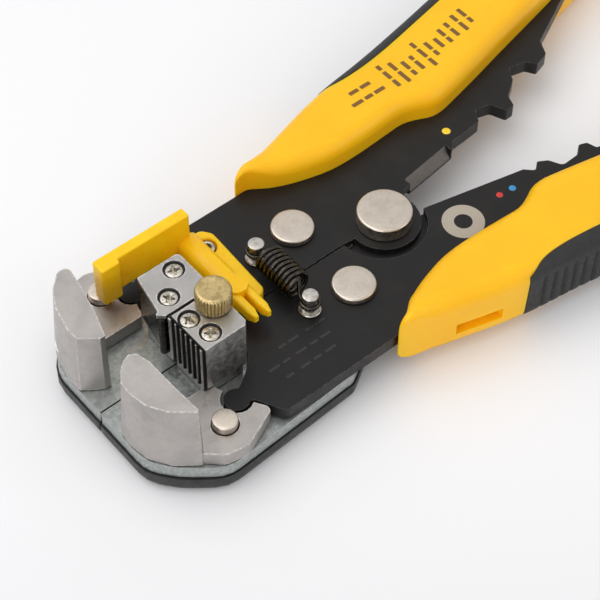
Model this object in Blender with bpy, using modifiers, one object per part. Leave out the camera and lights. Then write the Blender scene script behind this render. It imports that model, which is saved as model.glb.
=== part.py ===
"""A self-adjusting wire stripper, modelled open and lying flat on its underside.

Two stamped handle plates cross at a main rivet. Each carries a die-cast half head
on its own rivet, and each half head carries a front jaw on a pin. The round finger
at the front of a plate swings that jaw shut against a fixed block.

Plan view: +X points to the nose, +Y is the right half, +Z is up. Outlines are in
millimetres from the main rivet's axis, and the object's frame has its origin at the
bottom centre of the bounding box.
"""

import math

import bmesh
import bpy
from mathutils import Matrix

MM = 0.001

# Driving dimensions, in millimetres.
NOSE_X = 86.3
TAIL_X = -121.7
PIVOT_X = -(NOSE_X + TAIL_X) / 2
GAP = 0.3

COVER_TOP = 5.5
COVER_FLOOR = 1.8
BASE_BOTTOM = COVER_TOP + GAP
BASE_TOP = 9.5
PLATE_BOTTOM = BASE_TOP + GAP
PLATE_TOP = 13.5
LAP_LOW = 11.2
LAP_HIGH = LAP_LOW + GAP
COINED_TOP = 12.9
FOOT_TOP = 13.7
UNDERCUT = 14.1
HEAD_TOP = 28.7
GRIP_TOP = 21.0

DISC_R = 9.2
LAP_CLEARANCE_R = 13.2
COINED_R = 12.6
COINED_FLAT_R = 10.4
RECESS = (1.3, 0.0)
RECESS_R = 11.7
MAIN_HEAD_R = 6.9
MAIN_SHANK_R = 3.6

HEAD_PIVOT = (19.6, 11.4)
HEAD_RIVET_R = 5.4
HEAD_SHANK_R = 3.0
SPRING_PIN = (32.0, 10.0)
JAW_PIN_R = 3.0
JAW_PIN_TOP = 15.8
RIGHT_JAW_PIVOT = (67.4, 22.7)
LEFT_JAW_PIVOT = (67.4, -24.4)
FINGER_R = 3.1
FINGER_CLEARANCE = 0.8
RIGHT_FINGER = (61.1, 19.0)
LEFT_SHIFT = 1.8
SEAM = 0.2
PLATE_HALF_WIDTH = 28.6

SCREW_HEAD_R = 2.2
COUNTERBORE_R = 2.65
SCREW_SHANK_R = 1.3
GRIP_BLOCK_SCREWS = ((62.1, 3.6), (60.7, 9.6))
BLADE_BLOCK_SCREWS = ((56.1, -9.8), (61.8, -4.2))
COVER_SCREWS = ((81.0, 6.5), (46.0, 24.4), (26.0, 5.2))
KNOB = (55.3, 3.9)
KNOB_R = 4.3
KNOB_BOTTOM = HEAD_TOP + GAP
KNOB_TOP = 34.5
GUIDE_RIVET = (40.5, -18.1)
GUIDE_TOP = 17.2
RAIL_X = (41.3, 47.3)
RAIL_TOP = 21.3

COIL_R = 3.2
WIRE_R = 0.52
COIL_Z = 18.3
COIL_HALF = 5.8
COIL_TURNS = 8.5
HOOK_Z = 16.8


# --- Scene, collections and materials ---------------------------------------------

for old in list(bpy.data.objects):
    bpy.data.objects.remove(old, do_unlink=True)

scene = bpy.context.scene
parts = bpy.data.collections.new("wire_stripper")
cutters = bpy.data.collections.new("cutters")
scene.collection.children.link(parts)
scene.collection.children.link(cutters)

YELLOW = ((0.90, 0.58, 0.03), 0.0, 0.38)
RUBBER = ((0.03, 0.03, 0.035), 0.0, 0.75)
BLACK_PLATE = ((0.035, 0.033, 0.032), 0.55, 0.5)
BLACK_COVER = ((0.05, 0.05, 0.055), 0.0, 0.45)
ZINC = ((0.62, 0.60, 0.57), 0.9, 0.42)
STEEL = ((0.74, 0.72, 0.68), 1.0, 0.28)
DARK_STEEL = ((0.06, 0.055, 0.05), 0.9, 0.35)
BRASS = ((0.72, 0.57, 0.27), 1.0, 0.35)


def frame_empty(name, x=0.0, y=0.0, parent=None):
    """An empty on a vertical joint axis, given in the plan view's millimetres."""
    empty = bpy.data.objects.new(name, None)
    parts.objects.link(empty)
    empty["plan"] = (x, y)
    if parent:
        base = parent["plan"]
        empty.parent = parent
        empty.location = ((x - base[0]) * MM, (y - base[1]) * MM, 0.0)
    else:
        empty.location = (PIVOT_X * MM, 0.0, 0.0)
    return empty


right_handle = frame_empty("right_handle_frame")
left_handle = frame_empty("left_handle_axis", 0, 0, right_handle)
right_head = frame_empty("right_head_axis", *HEAD_PIVOT, right_handle)
left_head = frame_empty("left_head_axis", HEAD_PIVOT[0], -HEAD_PIVOT[1], left_handle)
right_jaw = frame_empty("right_jaw_axis", *RIGHT_JAW_PIVOT, right_head)
left_jaw = frame_empty("left_jaw_axis", *LEFT_JAW_PIVOT, left_head)
knob_axis = frame_empty("knob_axis", *KNOB, right_head)
stop_slide = frame_empty("stop_slide", 44.3, -21.8, left_handle)


def paint(obj, look):
    color, metallic, roughness = look
    material = bpy.data.materials.new(obj.name)
    material.use_nodes = True
    shader = material.node_tree.nodes["Principled BSDF"]
    shader.inputs["Base Color"].default_value = (*color, 1.0)
    shader.inputs["Metallic"].default_value = metallic
    shader.inputs["Roughness"].default_value = roughness
    obj.data.materials.clear()
    obj.data.materials.append(material)


def place(obj, frame, look=None):
    """Puts a piece under its joint's empty, or a cutter in the hidden collection."""
    obj.parent = frame
    obj.location = (-frame["plan"][0] * MM, -frame["plan"][1] * MM, 0.0)
    for collection in list(obj.users_collection):
        collection.objects.unlink(obj)
    if look:
        parts.objects.link(obj)
        paint(obj, look)
    else:
        cutters.objects.link(obj)
        obj.hide_render = True
        obj.display_type = "WIRE"
    return obj


# --- Outlines ---------------------------------------------------------------------


def arc(center, radius, start, end, step=18.0):
    """Points on an arc between two angles in degrees, either way round."""
    count = max(2, math.ceil(abs(end - start) / step - 0.001))
    angles = [math.radians(start + (end - start) * i / count) for i in range(count + 1)]
    return [(center[0] + radius * math.cos(a), center[1] + radius * math.sin(a)) for a in angles]


def circle(center, radius, count=24):
    return arc(center, radius, 0.0, 360.0 - 360.0 / count, 360.0 / count)


def fillet(corners, step=15.0):
    """A closed outline from corners (x, y) or (x, y, radius), with arcs in the round ones."""
    outline = []
    for i, corner in enumerate(corners):
        radius = corner[2] if len(corner) > 2 else 0.0
        x, y = corner[:2]
        back = (corners[i - 1][0] - x, corners[i - 1][1] - y)
        ahead = (corners[(i + 1) % len(corners)][0] - x, corners[(i + 1) % len(corners)][1] - y)
        back_length, ahead_length = math.hypot(*back), math.hypot(*ahead)
        back = (back[0] / back_length, back[1] / back_length)
        ahead = (ahead[0] / ahead_length, ahead[1] / ahead_length)
        opening = math.acos(max(-1.0, min(1.0, back[0] * ahead[0] + back[1] * ahead[1])))
        turn = math.pi - opening
        if radius <= 0.0 or turn < math.radians(2.0):
            outline.append((x, y))
            continue
        reach = min(radius * math.tan(turn / 2), 0.49 * back_length, 0.49 * ahead_length)
        radius = reach / math.tan(turn / 2)
        bisector = (back[0] + ahead[0], back[1] + ahead[1])
        length = math.hypot(*bisector)
        distance = radius / math.cos(turn / 2)
        center = (x + bisector[0] / length * distance, y + bisector[1] / length * distance)
        first = math.atan2(y + back[1] * reach - center[1], x + back[0] * reach - center[0])
        last = math.atan2(y + ahead[1] * reach - center[1], x + ahead[0] * reach - center[0])
        sweep = (last - first + math.pi) % (2 * math.pi) - math.pi
        outline += arc(center, radius, math.degrees(first), math.degrees(first + sweep), step)
    return outline


def mirrored(points):
    """The same outline or corner list on the other side of the centre line."""
    return [(point[0], -point[1], *point[2:]) for point in reversed(points)]


def inset(corners, distance):
    """The corners of a convex outline moved inwards, with their radii reduced to match."""
    area = sum(a[0] * b[1] - b[0] * a[1] for a, b in zip(corners, corners[1:] + corners[:1]))
    side = 1.0 if area > 0 else -1.0
    moved = []
    for i, corner in enumerate(corners):
        before, after = corners[i - 1], corners[(i + 1) % len(corners)]
        edge_in = (corner[0] - before[0], corner[1] - before[1])
        edge_out = (after[0] - corner[0], after[1] - corner[1])
        normal_in = (-side * edge_in[1] / math.hypot(*edge_in), side * edge_in[0] / math.hypot(*edge_in))
        normal_out = (-side * edge_out[1] / math.hypot(*edge_out), side * edge_out[0] / math.hypot(*edge_out))
        share = distance / (1.0 + normal_in[0] * normal_out[0] + normal_in[1] * normal_out[1])
        x = corner[0] + (normal_in[0] + normal_out[0]) * share
        y = corner[1] + (normal_in[1] + normal_out[1]) * share
        radius = corner[2] if len(corner) > 2 else 0.0
        moved.append((x, y, max(radius - distance, 0.2)))
    return moved


# --- Solids -----------------------------------------------------------------------


def mesh_object(name, mesh):
    obj = bpy.data.objects.new(name, mesh)
    scene.collection.objects.link(obj)
    return obj


def welded(mesh, flatten=False):
    """Merges points under 2 microns apart, and flat neighbouring faces if asked."""
    edit = bmesh.new()
    edit.from_mesh(mesh)
    bmesh.ops.remove_doubles(edit, verts=edit.verts, dist=2e-6)
    bmesh.ops.dissolve_degenerate(edit, edges=edit.edges, dist=2e-6)
    if flatten:
        bmesh.ops.dissolve_limit(edit, angle_limit=0.001, verts=edit.verts, edges=edit.edges)
        bmesh.ops.recalc_face_normals(edit, faces=edit.faces)
    edit.to_mesh(mesh)
    edit.free()


def as_mesh(curve_object):
    """The curve's solid as a mesh with its caps welded, so that it can be cut."""
    graph = bpy.context.evaluated_depsgraph_get()
    mesh = bpy.data.meshes.new_from_object(curve_object.evaluated_get(graph))
    welded(mesh, flatten=True)
    obj = mesh_object(curve_object.name + "_mesh", mesh)
    obj.matrix_world = curve_object.matrix_world
    name = curve_object.name
    bpy.data.objects.remove(curve_object, do_unlink=True)
    obj.name = name
    return obj


def slab(name, loops, low, high):
    """A flat piece: the first loop is its outline and the others are holes through it."""
    curve = bpy.data.curves.new(name, "CURVE")
    curve.dimensions = "2D"
    curve.fill_mode = "BOTH"
    curve.extrude = (high - low) / 2 * MM
    for loop in loops:
        spline = curve.splines.new("POLY")
        spline.points.add(len(loop) - 1)
        for point, (x, y) in zip(spline.points, loop):
            point.co = (x * MM, y * MM, 0.0, 1.0)
        spline.use_cyclic_u = True
    obj = bpy.data.objects.new(name, curve)
    scene.collection.objects.link(obj)
    obj.location = (0.0, 0.0, (low + high) / 2 * MM)
    bpy.context.view_layer.update()
    solid = as_mesh(obj)
    solid.data.transform(solid.matrix_world)
    solid.matrix_world.identity()
    return solid


def loft(name, rings):
    """A closed solid through rings of equally many points (x, y, z)."""
    build = bmesh.new()
    levels = [[build.verts.new([value * MM for value in point]) for point in ring] for ring in rings]
    for lower, upper in zip(levels, levels[1:]):
        for i in range(len(lower)):
            j = (i + 1) % len(lower)
            build.faces.new((lower[i], lower[j], upper[j], upper[i]))
    build.faces.new(list(reversed(levels[0])))
    build.faces.new(levels[-1])
    bmesh.ops.recalc_face_normals(build, faces=build.faces)
    mesh = bpy.data.meshes.new(name)
    build.to_mesh(mesh)
    build.free()
    return mesh_object(name, mesh)


def drafted(name, low_corners, high_corners, low, high, step=22.0):
    """A solid whose outline changes evenly from its lower to its upper face."""
    bottom = fillet(low_corners, step)
    top = fillet(high_corners, step)
    count = max(len(bottom), len(top))
    rings = []
    for outline, z in ((resampled(bottom, count), low), (resampled(top, count), high)):
        rings.append([(x, y, z) for x, y in outline])
    return loft(name, rings)


def resampled(outline, count):
    """The outline with midpoints added to its longest sides until it has count points."""
    points = list(outline)
    while len(points) < count:
        lengths = [math.dist(points[i], points[(i + 1) % len(points)]) for i in range(len(points))]
        longest = lengths.index(max(lengths))
        a, b = points[longest], points[(longest + 1) % len(points)]
        points.insert(longest + 1, ((a[0] + b[0]) / 2, (a[1] + b[1]) / 2))
    return points


def turned(name, profile, center, steps=24):
    """A turned solid. The profile (radius, z) runs from the top down its outer side."""
    mesh = bpy.data.meshes.new(name)
    edges = [(i, i + 1) for i in range(len(profile) - 1)]
    if profile[0][0] > 0:
        edges.append((len(profile) - 1, 0))
    mesh.from_pydata([(r * MM, 0.0, z * MM) for r, z in profile], edges, [])
    obj = mesh_object(name, mesh)
    screw = obj.modifiers.new("turn", "SCREW")
    screw.axis = "Z"
    screw.angle = math.tau
    screw.steps = steps
    screw.render_steps = steps
    screw.use_merge_vertices = True
    screw.merge_threshold = 1e-6
    screw.use_smooth_shade = False
    graph = bpy.context.evaluated_depsgraph_get()
    solid = bpy.data.meshes.new_from_object(obj.evaluated_get(graph))
    bpy.data.objects.remove(obj, do_unlink=True)
    solid.name = name
    solid.transform(Matrix.Translation((center[0] * MM, center[1] * MM, 0.0)))
    return mesh_object(name, solid)


def post(name, center, radius, low, high, count=24):
    return turned(name, [(0.0, high), (radius, high), (radius, low), (0.0, low)], center, count)


def wire(name, path, radius, resolution=2):
    """A round wire along a list of points (x, y, z), with flat ends."""
    curve = bpy.data.curves.new(name, "CURVE")
    curve.dimensions = "3D"
    curve.bevel_depth = radius * MM
    curve.bevel_resolution = resolution
    curve.use_fill_caps = True
    spline = curve.splines.new("POLY")
    spline.points.add(len(path) - 1)
    for point, place_mm in zip(spline.points, path):
        point.co = (*[value * MM for value in place_mm], 1.0)
    obj = bpy.data.objects.new(name, curve)
    scene.collection.objects.link(obj)
    return obj


def boolean(target, tool, operation):
    """Adds a Boolean modifier to the target, which is given back."""
    modifier = target.modifiers.new(operation.lower(), "BOOLEAN")
    modifier.operation = operation
    modifier.object = tool
    return target


def applied(obj):
    """Replaces the object's mesh by what its modifiers make of it."""
    bpy.context.view_layer.update()
    graph = bpy.context.evaluated_depsgraph_get()
    mesh = bpy.data.meshes.new_from_object(obj.evaluated_get(graph))
    obj.modifiers.clear()
    obj.data = mesh
    return obj


def combined(target, tools, operation):
    """Cuts or joins the tools at once and removes them, for shapes made in one go."""
    for tool in tools:
        # The exact solver leaves loose edges where these thin faces lie in one plane.
        boolean(target, tool, operation).modifiers[-1].solver = "MANIFOLD"
        welded(applied(target).data)
        bpy.data.objects.remove(tool, do_unlink=True)
    return target


def joined(target, *tools):
    return combined(target, tools, "UNION")


def cut(target, *tools):
    return combined(target, tools, "DIFFERENCE")


def cut_later(target, tool):
    """Leaves the cut as a modifier, with its cutter in the hidden collection."""
    place(tool, right_handle)
    return boolean(target, tool, "DIFFERENCE")


def bevel(obj, width, segments=1, angle=40.0):
    modifier = obj.modifiers.new("edges", "BEVEL")
    modifier.width = width * MM
    modifier.segments = segments
    modifier.limit_method = "ANGLE"
    modifier.angle_limit = math.radians(angle)
    modifier.use_clamp_overlap = True
    return obj


def smooth(obj, angle=35.0):
    obj.data.shade_smooth()
    obj.data.set_sharp_from_angle(angle=math.radians(angle))
    return obj


# --- Handle plates ----------------------------------------------------------------

PLATE_TAIL = [(-91.6, 29.4, 4), (-111.0, 38.5, 3), (-113.0, 47.0, 4), (-60.0, 39.8), (-30.0, 34.4)]


def plate_front(shift):
    """From the centre seam round the finger to the outer edge, for a finger moved outwards."""
    fx, fy = RIGHT_FINGER[0], RIGHT_FINGER[1] + shift
    start = [(0.0, SEAM), (51.0, SEAM, 1.0), (51.0, 10.6 + shift, 2.0), (54.6, 14.2 + shift, 2.0)]
    neck = [(57.6, 16.2 + shift, 0.6)]
    round_end = arc((fx, fy), FINGER_R, 225.0, 495.0, 24.0)
    corner = [(58.0, 21.8 + shift, 0.5), (54.4, PLATE_HALF_WIDTH, 2.5), (8.0, PLATE_HALF_WIDTH, 30.0)]
    return start + neck + round_end + corner


def right_inner_edge():
    """Cutting edge and crimping teeth of the right plate, from the rivet to the tail."""
    cutter = [(-9.1, 3.4), (-37.6, 9.9, 0.5), (-39.9, 12.2, 0.9)]
    first_tooth = [(-42.1, 10.2, 0.5), (-44.6, 11.7, 1.0), (-46.4, 15.2, 1.6)]
    second_tooth = [(-51.8, 15.0, 1.8), (-54.2, 12.8, 0.8), (-56.4, 13.6, 0.8), (-57.2, 16.4, 0.8)]
    rear_nest = [(-61.6, 17.0, 1.0), (-64.6, 20.6, 1.5), (-73.0, 22.4, 3.0)]
    return cutter + first_tooth + second_tooth + rear_nest


def left_inner_edge():
    """The same for the left plate, given on the +Y side before it is mirrored."""
    cutter = [(-9.0, 3.9), (-28.6, 6.4, 0.4), (-30.6, 8.4, 1.4), (-36.6, 8.8, 3.0), (-40.4, 9.2, 0.7)]
    first_nest = [(-42.3, 12.8, 1.2), (-46.7, 11.6, 1.5)]
    first_tooth = [(-48.4, 7.4, 0.7), (-51.1, 7.4, 0.7), (-52.4, 10.9, 0.8)]
    second_nest = [(-57.4, 14.3, 1.2), (-59.4, 18.3, 1.2), (-64.6, 17.0, 1.2)]
    second_tooth = [(-66.2, 14.3, 0.6), (-70.8, 15.7, 1.0), (-73.0, 20.2, 1.0)]
    return cutter + first_nest + first_tooth + second_nest + second_tooth


RIGHT_PLATE = fillet(plate_front(0.0) + PLATE_TAIL[::-1] + right_inner_edge()[::-1])
LEFT_PLATE = mirrored(fillet(plate_front(LEFT_SHIFT) + PLATE_TAIL[::-1] + left_inner_edge()[::-1]))


def wedge(name, start, end, side, low, high):
    """A long triangular cutter that bevels a plate's edge from one face to the other."""
    length = math.hypot(end[0] - start[0], end[1] - start[1])
    along = ((end[0] - start[0]) / length, (end[1] - start[1]) / length)
    across = (-along[1] * side, along[0] * side)
    reach = abs(high - low)
    corners = [(-4.0, low), (0.0, low), (reach * 0.62, high), (-4.0, high)]
    rings = []
    for x, y in (start, end):
        rings.append([(x + across[0] * d, y + across[1] * d, z) for d, z in corners])
    return loft(name, rings)


right_plate = slab(
    "right_handle_plate",
    [RIGHT_PLATE, circle(HEAD_PIVOT, HEAD_SHANK_R + GAP), circle(SPRING_PIN, 1.7, 16)],
    PLATE_BOTTOM,
    PLATE_TOP,
)
cut(right_plate, post("recess", RECESS, RECESS_R, LAP_HIGH - GAP, PLATE_TOP + 2, 48))
joined(right_plate, post("disc", (0, 0), DISC_R, PLATE_BOTTOM, LAP_LOW, 40))
cut(right_plate, post("bore", (0, 0), MAIN_SHANK_R + GAP, PLATE_BOTTOM - 2, PLATE_TOP + 2))
cut(right_plate, wedge("bevel", (-13.5, 4.3), (-36.0, 9.7), -1, 13.1, 9.7))
place(right_plate, right_handle, BLACK_PLATE)

left_plate = slab(
    "left_handle_plate",
    [
        LEFT_PLATE,
        circle((HEAD_PIVOT[0], -HEAD_PIVOT[1]), HEAD_SHANK_R + GAP),
        circle((SPRING_PIN[0], -SPRING_PIN[1]), 1.7, 16),
        circle(GUIDE_RIVET, 1.8, 16),
    ],
    PLATE_BOTTOM,
    PLATE_TOP,
)
cut(left_plate, post("recess", (0, 0), LAP_CLEARANCE_R, PLATE_BOTTOM - 2, LAP_HIGH, 48))
reach = (COINED_R - COINED_FLAT_R) / (PLATE_TOP - COINED_TOP)
dish = [(0.0, PLATE_TOP + 1), (COINED_R + reach, PLATE_TOP + 1), (COINED_FLAT_R, COINED_TOP), (0.0, COINED_TOP)]
cut(left_plate, turned("coined", dish, (0, 0), 64))
joined(left_plate, post("disc", (0, 0), DISC_R, LAP_HIGH, COINED_TOP, 40))
cut(left_plate, post("bore", (0, 0), MAIN_SHANK_R + GAP, PLATE_BOTTOM - 2, PLATE_TOP + 2))
cut(left_plate, wedge("bevel", (-12.6, -4.4), (-28.2, -6.4), 1, 10.3, 13.6))
place(left_plate, left_handle, BLACK_PLATE)


# --- Rivets and pins --------------------------------------------------------------


def rivet(name, center, head_r, shank_r, head, foot, low_head_r):
    """A rivet with a chamfered face. head and foot are (outer z, inner z) of its two heads."""
    chamfer = 0.5
    profile = [
        (0.0, head[0]),
        (head_r - chamfer, head[0] - 0.1),
        (head_r, head[0] - chamfer - 0.2),
        (head_r, head[1]),
        (shank_r, head[1]),
        (shank_r, foot[1]),
        (low_head_r, foot[1]),
        (low_head_r, foot[0] + chamfer),
        (low_head_r - chamfer, foot[0]),
        (0.0, foot[0]),
    ]
    return smooth(turned(name, profile, center, 24))


main_rivet = rivet(
    "main_pivot_rivet", (0, 0), MAIN_HEAD_R, MAIN_SHANK_R, (17.0, COINED_TOP + GAP), (7.4, BASE_TOP), 6.0
)
place(main_rivet, right_handle, STEEL)
for name, side, frame in (("right_head_rivet", 1, right_handle), ("left_head_rivet", -1, left_handle)):
    head_rivet = rivet(
        name,
        (HEAD_PIVOT[0], side * HEAD_PIVOT[1]),
        HEAD_RIVET_R,
        HEAD_SHANK_R,
        (15.4, PLATE_TOP + GAP),
        (3.7, COVER_TOP),
        4.6,
    )
    place(head_rivet, frame, STEEL)

for name, side, frame in (("right_spring_pin", 1, right_handle), ("left_spring_pin", -1, left_handle)):
    profile = [
        (0.0, 19.5),
        (1.8, 19.5),
        (2.0, 19.3),
        (2.0, 17.7),
        (1.4, 17.7),
        (1.4, 15.9),
        (2.0, 15.9),
        (2.0, 14.7),
        (2.7, 14.7),
        (2.7, PLATE_TOP + GAP),
        (1.4, PLATE_TOP + GAP),
        (1.4, PLATE_BOTTOM + 0.1),
        (0.0, PLATE_BOTTOM + 0.1),
    ]
    pin = smooth(turned(name, profile, (SPRING_PIN[0], side * SPRING_PIN[1]), 14))
    place(pin, frame, STEEL)


# --- Half heads: die-cast base and black cover ------------------------------------

BASE_CORNERS = [
    (16.0, SEAM, 1.5),
    (85.8, SEAM, 0.5),
    (85.8, 17.0, 9.0),
    (81.1, 23.2, 25.0),
    (72.4, 30.1, 9.0),
    (34.0, 28.3, 2.5),
    (24.5, 22.6, 6.0),
    (13.0, 20.0, 5.0),
    (10.6, 8.0, 5.0),
]
COVER_CORNERS = [
    (16.0, SEAM, 1.5),
    (NOSE_X, SEAM, 0.5),
    (NOSE_X, 17.2, 9.0),
    (81.5, 23.6, 25.0),
    (72.6, 30.5, 9.0),
    (33.8, 28.7, 2.5),
    (24.5, 23.0, 6.0),
    (12.6, 20.5, 5.0),
    (10.2, 8.0, 5.0),
]


def half(points, side):
    return points if side > 0 else mirrored(points)


def half_base(name, side, jaw_pivot, screws, frame):
    outline = fillet(half(BASE_CORNERS, side))
    holes = [circle((HEAD_PIVOT[0], side * HEAD_PIVOT[1]), HEAD_SHANK_R + GAP)]
    holes.append(circle(jaw_pivot, JAW_PIN_R + GAP))
    holes += [circle(center, SCREW_SHANK_R + GAP, 10) for center in screws]
    holes += [circle((x, side * y), 1.3, 10) for x, y in COVER_SCREWS]
    base = slab(name, [outline, *holes], BASE_BOTTOM, BASE_TOP)
    return place(base, frame, ZINC)


def half_cover(name, side, frame):
    """A tray with a rounded lower edge, a pocket for the pins' ends and three bosses."""
    rings = []
    rounding = 3.0
    for angle in (90.0, 60.0, 30.0, 0.0):
        inward = rounding * (1.0 - math.cos(math.radians(angle)))
        height = rounding * (1.0 - math.sin(math.radians(angle)))
        ring = fillet(half(inset(COVER_CORNERS, inward + 0.001), side), 30.0)
        rings.append((ring, height))
    rings.append((rings[-1][0], COVER_TOP))
    count = max(len(ring) for ring, _ in rings)
    cover = loft(name, [[(x, y, z) for x, y in resampled(ring, count)] for ring, z in rings])
    pocket_outline = fillet(half(inset(COVER_CORNERS, 1.6), side), 45.0)
    pocket = slab("pocket", [pocket_outline], COVER_FLOOR, COVER_TOP + 2)
    for x, y in COVER_SCREWS:
        cut(pocket, post("boss", (x, side * y), 2.6, COVER_FLOOR - 1, COVER_TOP + 3, 12))
    cut(cover, pocket)
    stepped = [(0.0, COVER_TOP + 1), (1.3, COVER_TOP + 1), (1.3, 1.5), (2.2, 1.5), (2.2, -1.0), (0.0, -1.0)]
    for x, y in COVER_SCREWS:
        cut(cover, turned("screw_hole", stepped, (x, side * y), 12))
    return place(cover, frame, BLACK_COVER)


half_base("right_head_base", 1, RIGHT_JAW_PIVOT, GRIP_BLOCK_SCREWS, right_head)
half_base("left_head_base", -1, LEFT_JAW_PIVOT, BLADE_BLOCK_SCREWS, left_head)
half_cover("right_head_cover", 1, right_head)
half_cover("left_head_cover", -1, left_head)


def screw(center, head_r, head_top, head_low, tip, shank_r=SCREW_SHANK_R, upward=True, steps=16):
    """A cross-recessed screw, with its head up or, for the covers, down."""
    side = 1.0 if upward else -1.0
    profile = [
        (0.0, head_top),
        (head_r - 0.25, head_top),
        (head_r, head_top - 0.25 * side),
        (head_r, head_low),
        (shank_r, head_low),
        (shank_r, tip),
        (0.0, tip),
    ]
    if not upward:
        profile.reverse()
    body = turned("screw", profile, center, steps)
    if not upward:
        return body
    for turn in (45.0, 135.0):
        a = math.radians(turn)
        along = (math.cos(a) * head_r * 0.62, math.sin(a) * head_r * 0.62)
        across = (-math.sin(a) * 0.33, math.cos(a) * 0.33)
        slot = [
            (center[0] + sx * along[0] + sy * across[0], center[1] + sx * along[1] + sy * across[1])
            for sx, sy in ((1, 1), (-1, 1), (-1, -1), (1, -1))
        ]
        cut(body, slab("slot", [slot], head_top - 1.0, head_top + 1.0))
    return body


def screws(name, centers, frame, look, **sizes):
    """Identical screws, one object each, named by number."""
    for number, center in enumerate(centers, 1):
        single = screw(center, **sizes)
        single.name = name + "_" + str(number)
        place(smooth(single), frame, look)


for name, side, frame in (("right_cover_screw", 1, right_head), ("left_cover_screw", -1, left_head)):
    centers = [(x, side * y) for x, y in COVER_SCREWS]
    sizes = {"head_r": 1.9, "head_top": 0.2, "head_low": 1.2, "tip": 8.8, "shank_r": 1.0, "upward": False, "steps": 12}
    screws(name, centers, frame, STEEL, **sizes)


# --- Fixed blocks -----------------------------------------------------------------

TEETH = 6
TOOTH_PITCH = 1.85
TOOTH_DEPTH = 0.8
TOOTH_START = 0.9
BLOCK_FRONT = 65.6
BLOCK_REAR = 52.5
BLOCK_SIDE = 12.9
PEDESTAL = [(53.4, 0.8), (64.2, 0.8), (64.2, 10.3), (62.8, 11.6), (53.4, 11.6)]


def toothed_front():
    """The grip block's front face, with upright V teeth."""
    face = [(BLOCK_FRONT, SEAM + 0.2)]
    for i in range(TEETH):
        y = TOOTH_START + i * TOOTH_PITCH
        face += [(BLOCK_FRONT, y + 0.15), (BLOCK_FRONT - TOOTH_DEPTH, y + TOOTH_PITCH / 2)]
    face += [(BLOCK_FRONT, TOOTH_START + TEETH * TOOTH_PITCH), (BLOCK_FRONT, BLOCK_SIDE - 0.6)]
    return face


grip_block_outline = toothed_front() + [
    (BLOCK_FRONT - 0.6, BLOCK_SIDE),
    (BLOCK_REAR + 1.0, BLOCK_SIDE),
    (BLOCK_REAR, BLOCK_SIDE - 1.0),
    (BLOCK_REAR, SEAM + 0.2),
]
grip_block = slab("grip_block", [grip_block_outline], UNDERCUT, HEAD_TOP)
joined(grip_block, slab("pedestal", [PEDESTAL], BASE_TOP + GAP, UNDERCUT + 1))
for center in GRIP_BLOCK_SCREWS:
    cut(grip_block, post("counterbore", center, COUNTERBORE_R, HEAD_TOP - 2.2, HEAD_TOP + 1))
    cut(grip_block, post("shank_hole", center, SCREW_SHANK_R + GAP, BASE_TOP - 1, HEAD_TOP, 12))
cut(grip_block, post("knob_hole", KNOB, 1.9, 19.0, HEAD_TOP + 1, 16))
place(grip_block, right_head, ZINC)

BLADE_FRONT = [(67.3, -1.9, 0.3), (66.2, -2.6, 0.3), (64.1, -13.1, 0.5)]
blade_block_lip = fillet([(65.6, -0.4, 0.3), *BLADE_FRONT, (52.4, -13.1, 1.0), (52.4, -0.4, 0.3)])
blade_block_body = fillet(
    [(64.4, -0.4, 0.3), (64.4, -3.0, 0.3), (62.4, -13.1, 0.5), (52.4, -13.1, 1.0), (52.4, -0.4, 0.3)]
)
BLADE_TOP = 27.4
blade_block = slab("blade_block", [blade_block_body], UNDERCUT, HEAD_TOP)
joined(blade_block, slab("lip", [blade_block_lip], BLADE_TOP + GAP, HEAD_TOP))
joined(blade_block, slab("pedestal", [mirrored(PEDESTAL)], BASE_TOP + GAP, UNDERCUT + 0.1))
for center in BLADE_BLOCK_SCREWS:
    cut(blade_block, post("counterbore", center, COUNTERBORE_R, HEAD_TOP - 2.2, HEAD_TOP + 1))
    cut(blade_block, post("shank_hole", center, SCREW_SHANK_R + GAP, BASE_TOP - 1, HEAD_TOP, 12))
place(blade_block, left_head, ZINC)

blade_outline = fillet(
    [(64.7, -0.5, 0.3), (66.4, -0.6, 1.0), (67.1, -1.8, 0.8), (65.9, -2.9, 0.4), (63.9, -13.0, 0.3)]
    + [(62.7, -13.0, 0.2), (64.7, -3.1, 0.3)]
)
stripping_blade = slab("stripping_blade", [blade_outline], UNDERCUT + 0.4, BLADE_TOP)
place(stripping_blade, left_head, DARK_STEEL)

head_screw = {"head_r": SCREW_HEAD_R, "head_top": 28.5, "head_low": HEAD_TOP - 1.9, "tip": 6.2}
screws("grip_block_screw", GRIP_BLOCK_SCREWS, right_head, STEEL, **head_screw)
screws("blade_block_screw", BLADE_BLOCK_SCREWS, left_head, STEEL, **head_screw)


# --- Front jaws -------------------------------------------------------------------


def jaw_foot(side, shift):
    """The foot plate round the pin, with a U notch for the plate's finger."""
    fx, fy = RIGHT_FINGER[0], RIGHT_FINGER[1] + shift
    notch = arc((fx, fy), FINGER_R + FINGER_CLEARANCE, 128.0, -72.0, 20.0)
    outer = [(84.6, 8.0 + shift), (84.6, 17.4 + shift, 5.0), (72.4, 29.4 + shift, 4.0), (66.6, 30.4 + shift, 2.0)]
    lobe = [(57.2, 26.4 + shift, 1.0), (56.9, 25.0 + shift, 0.8)]
    inner = [(63.4, 11.7 + shift, 0.8), (76.5, 11.7 + shift)]
    outline = fillet(outer + lobe + notch + inner)
    return outline if side > 0 else mirrored(outline)


def jaw_pin_hole(pivot):
    return circle(pivot, JAW_PIN_R + GAP)


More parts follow.
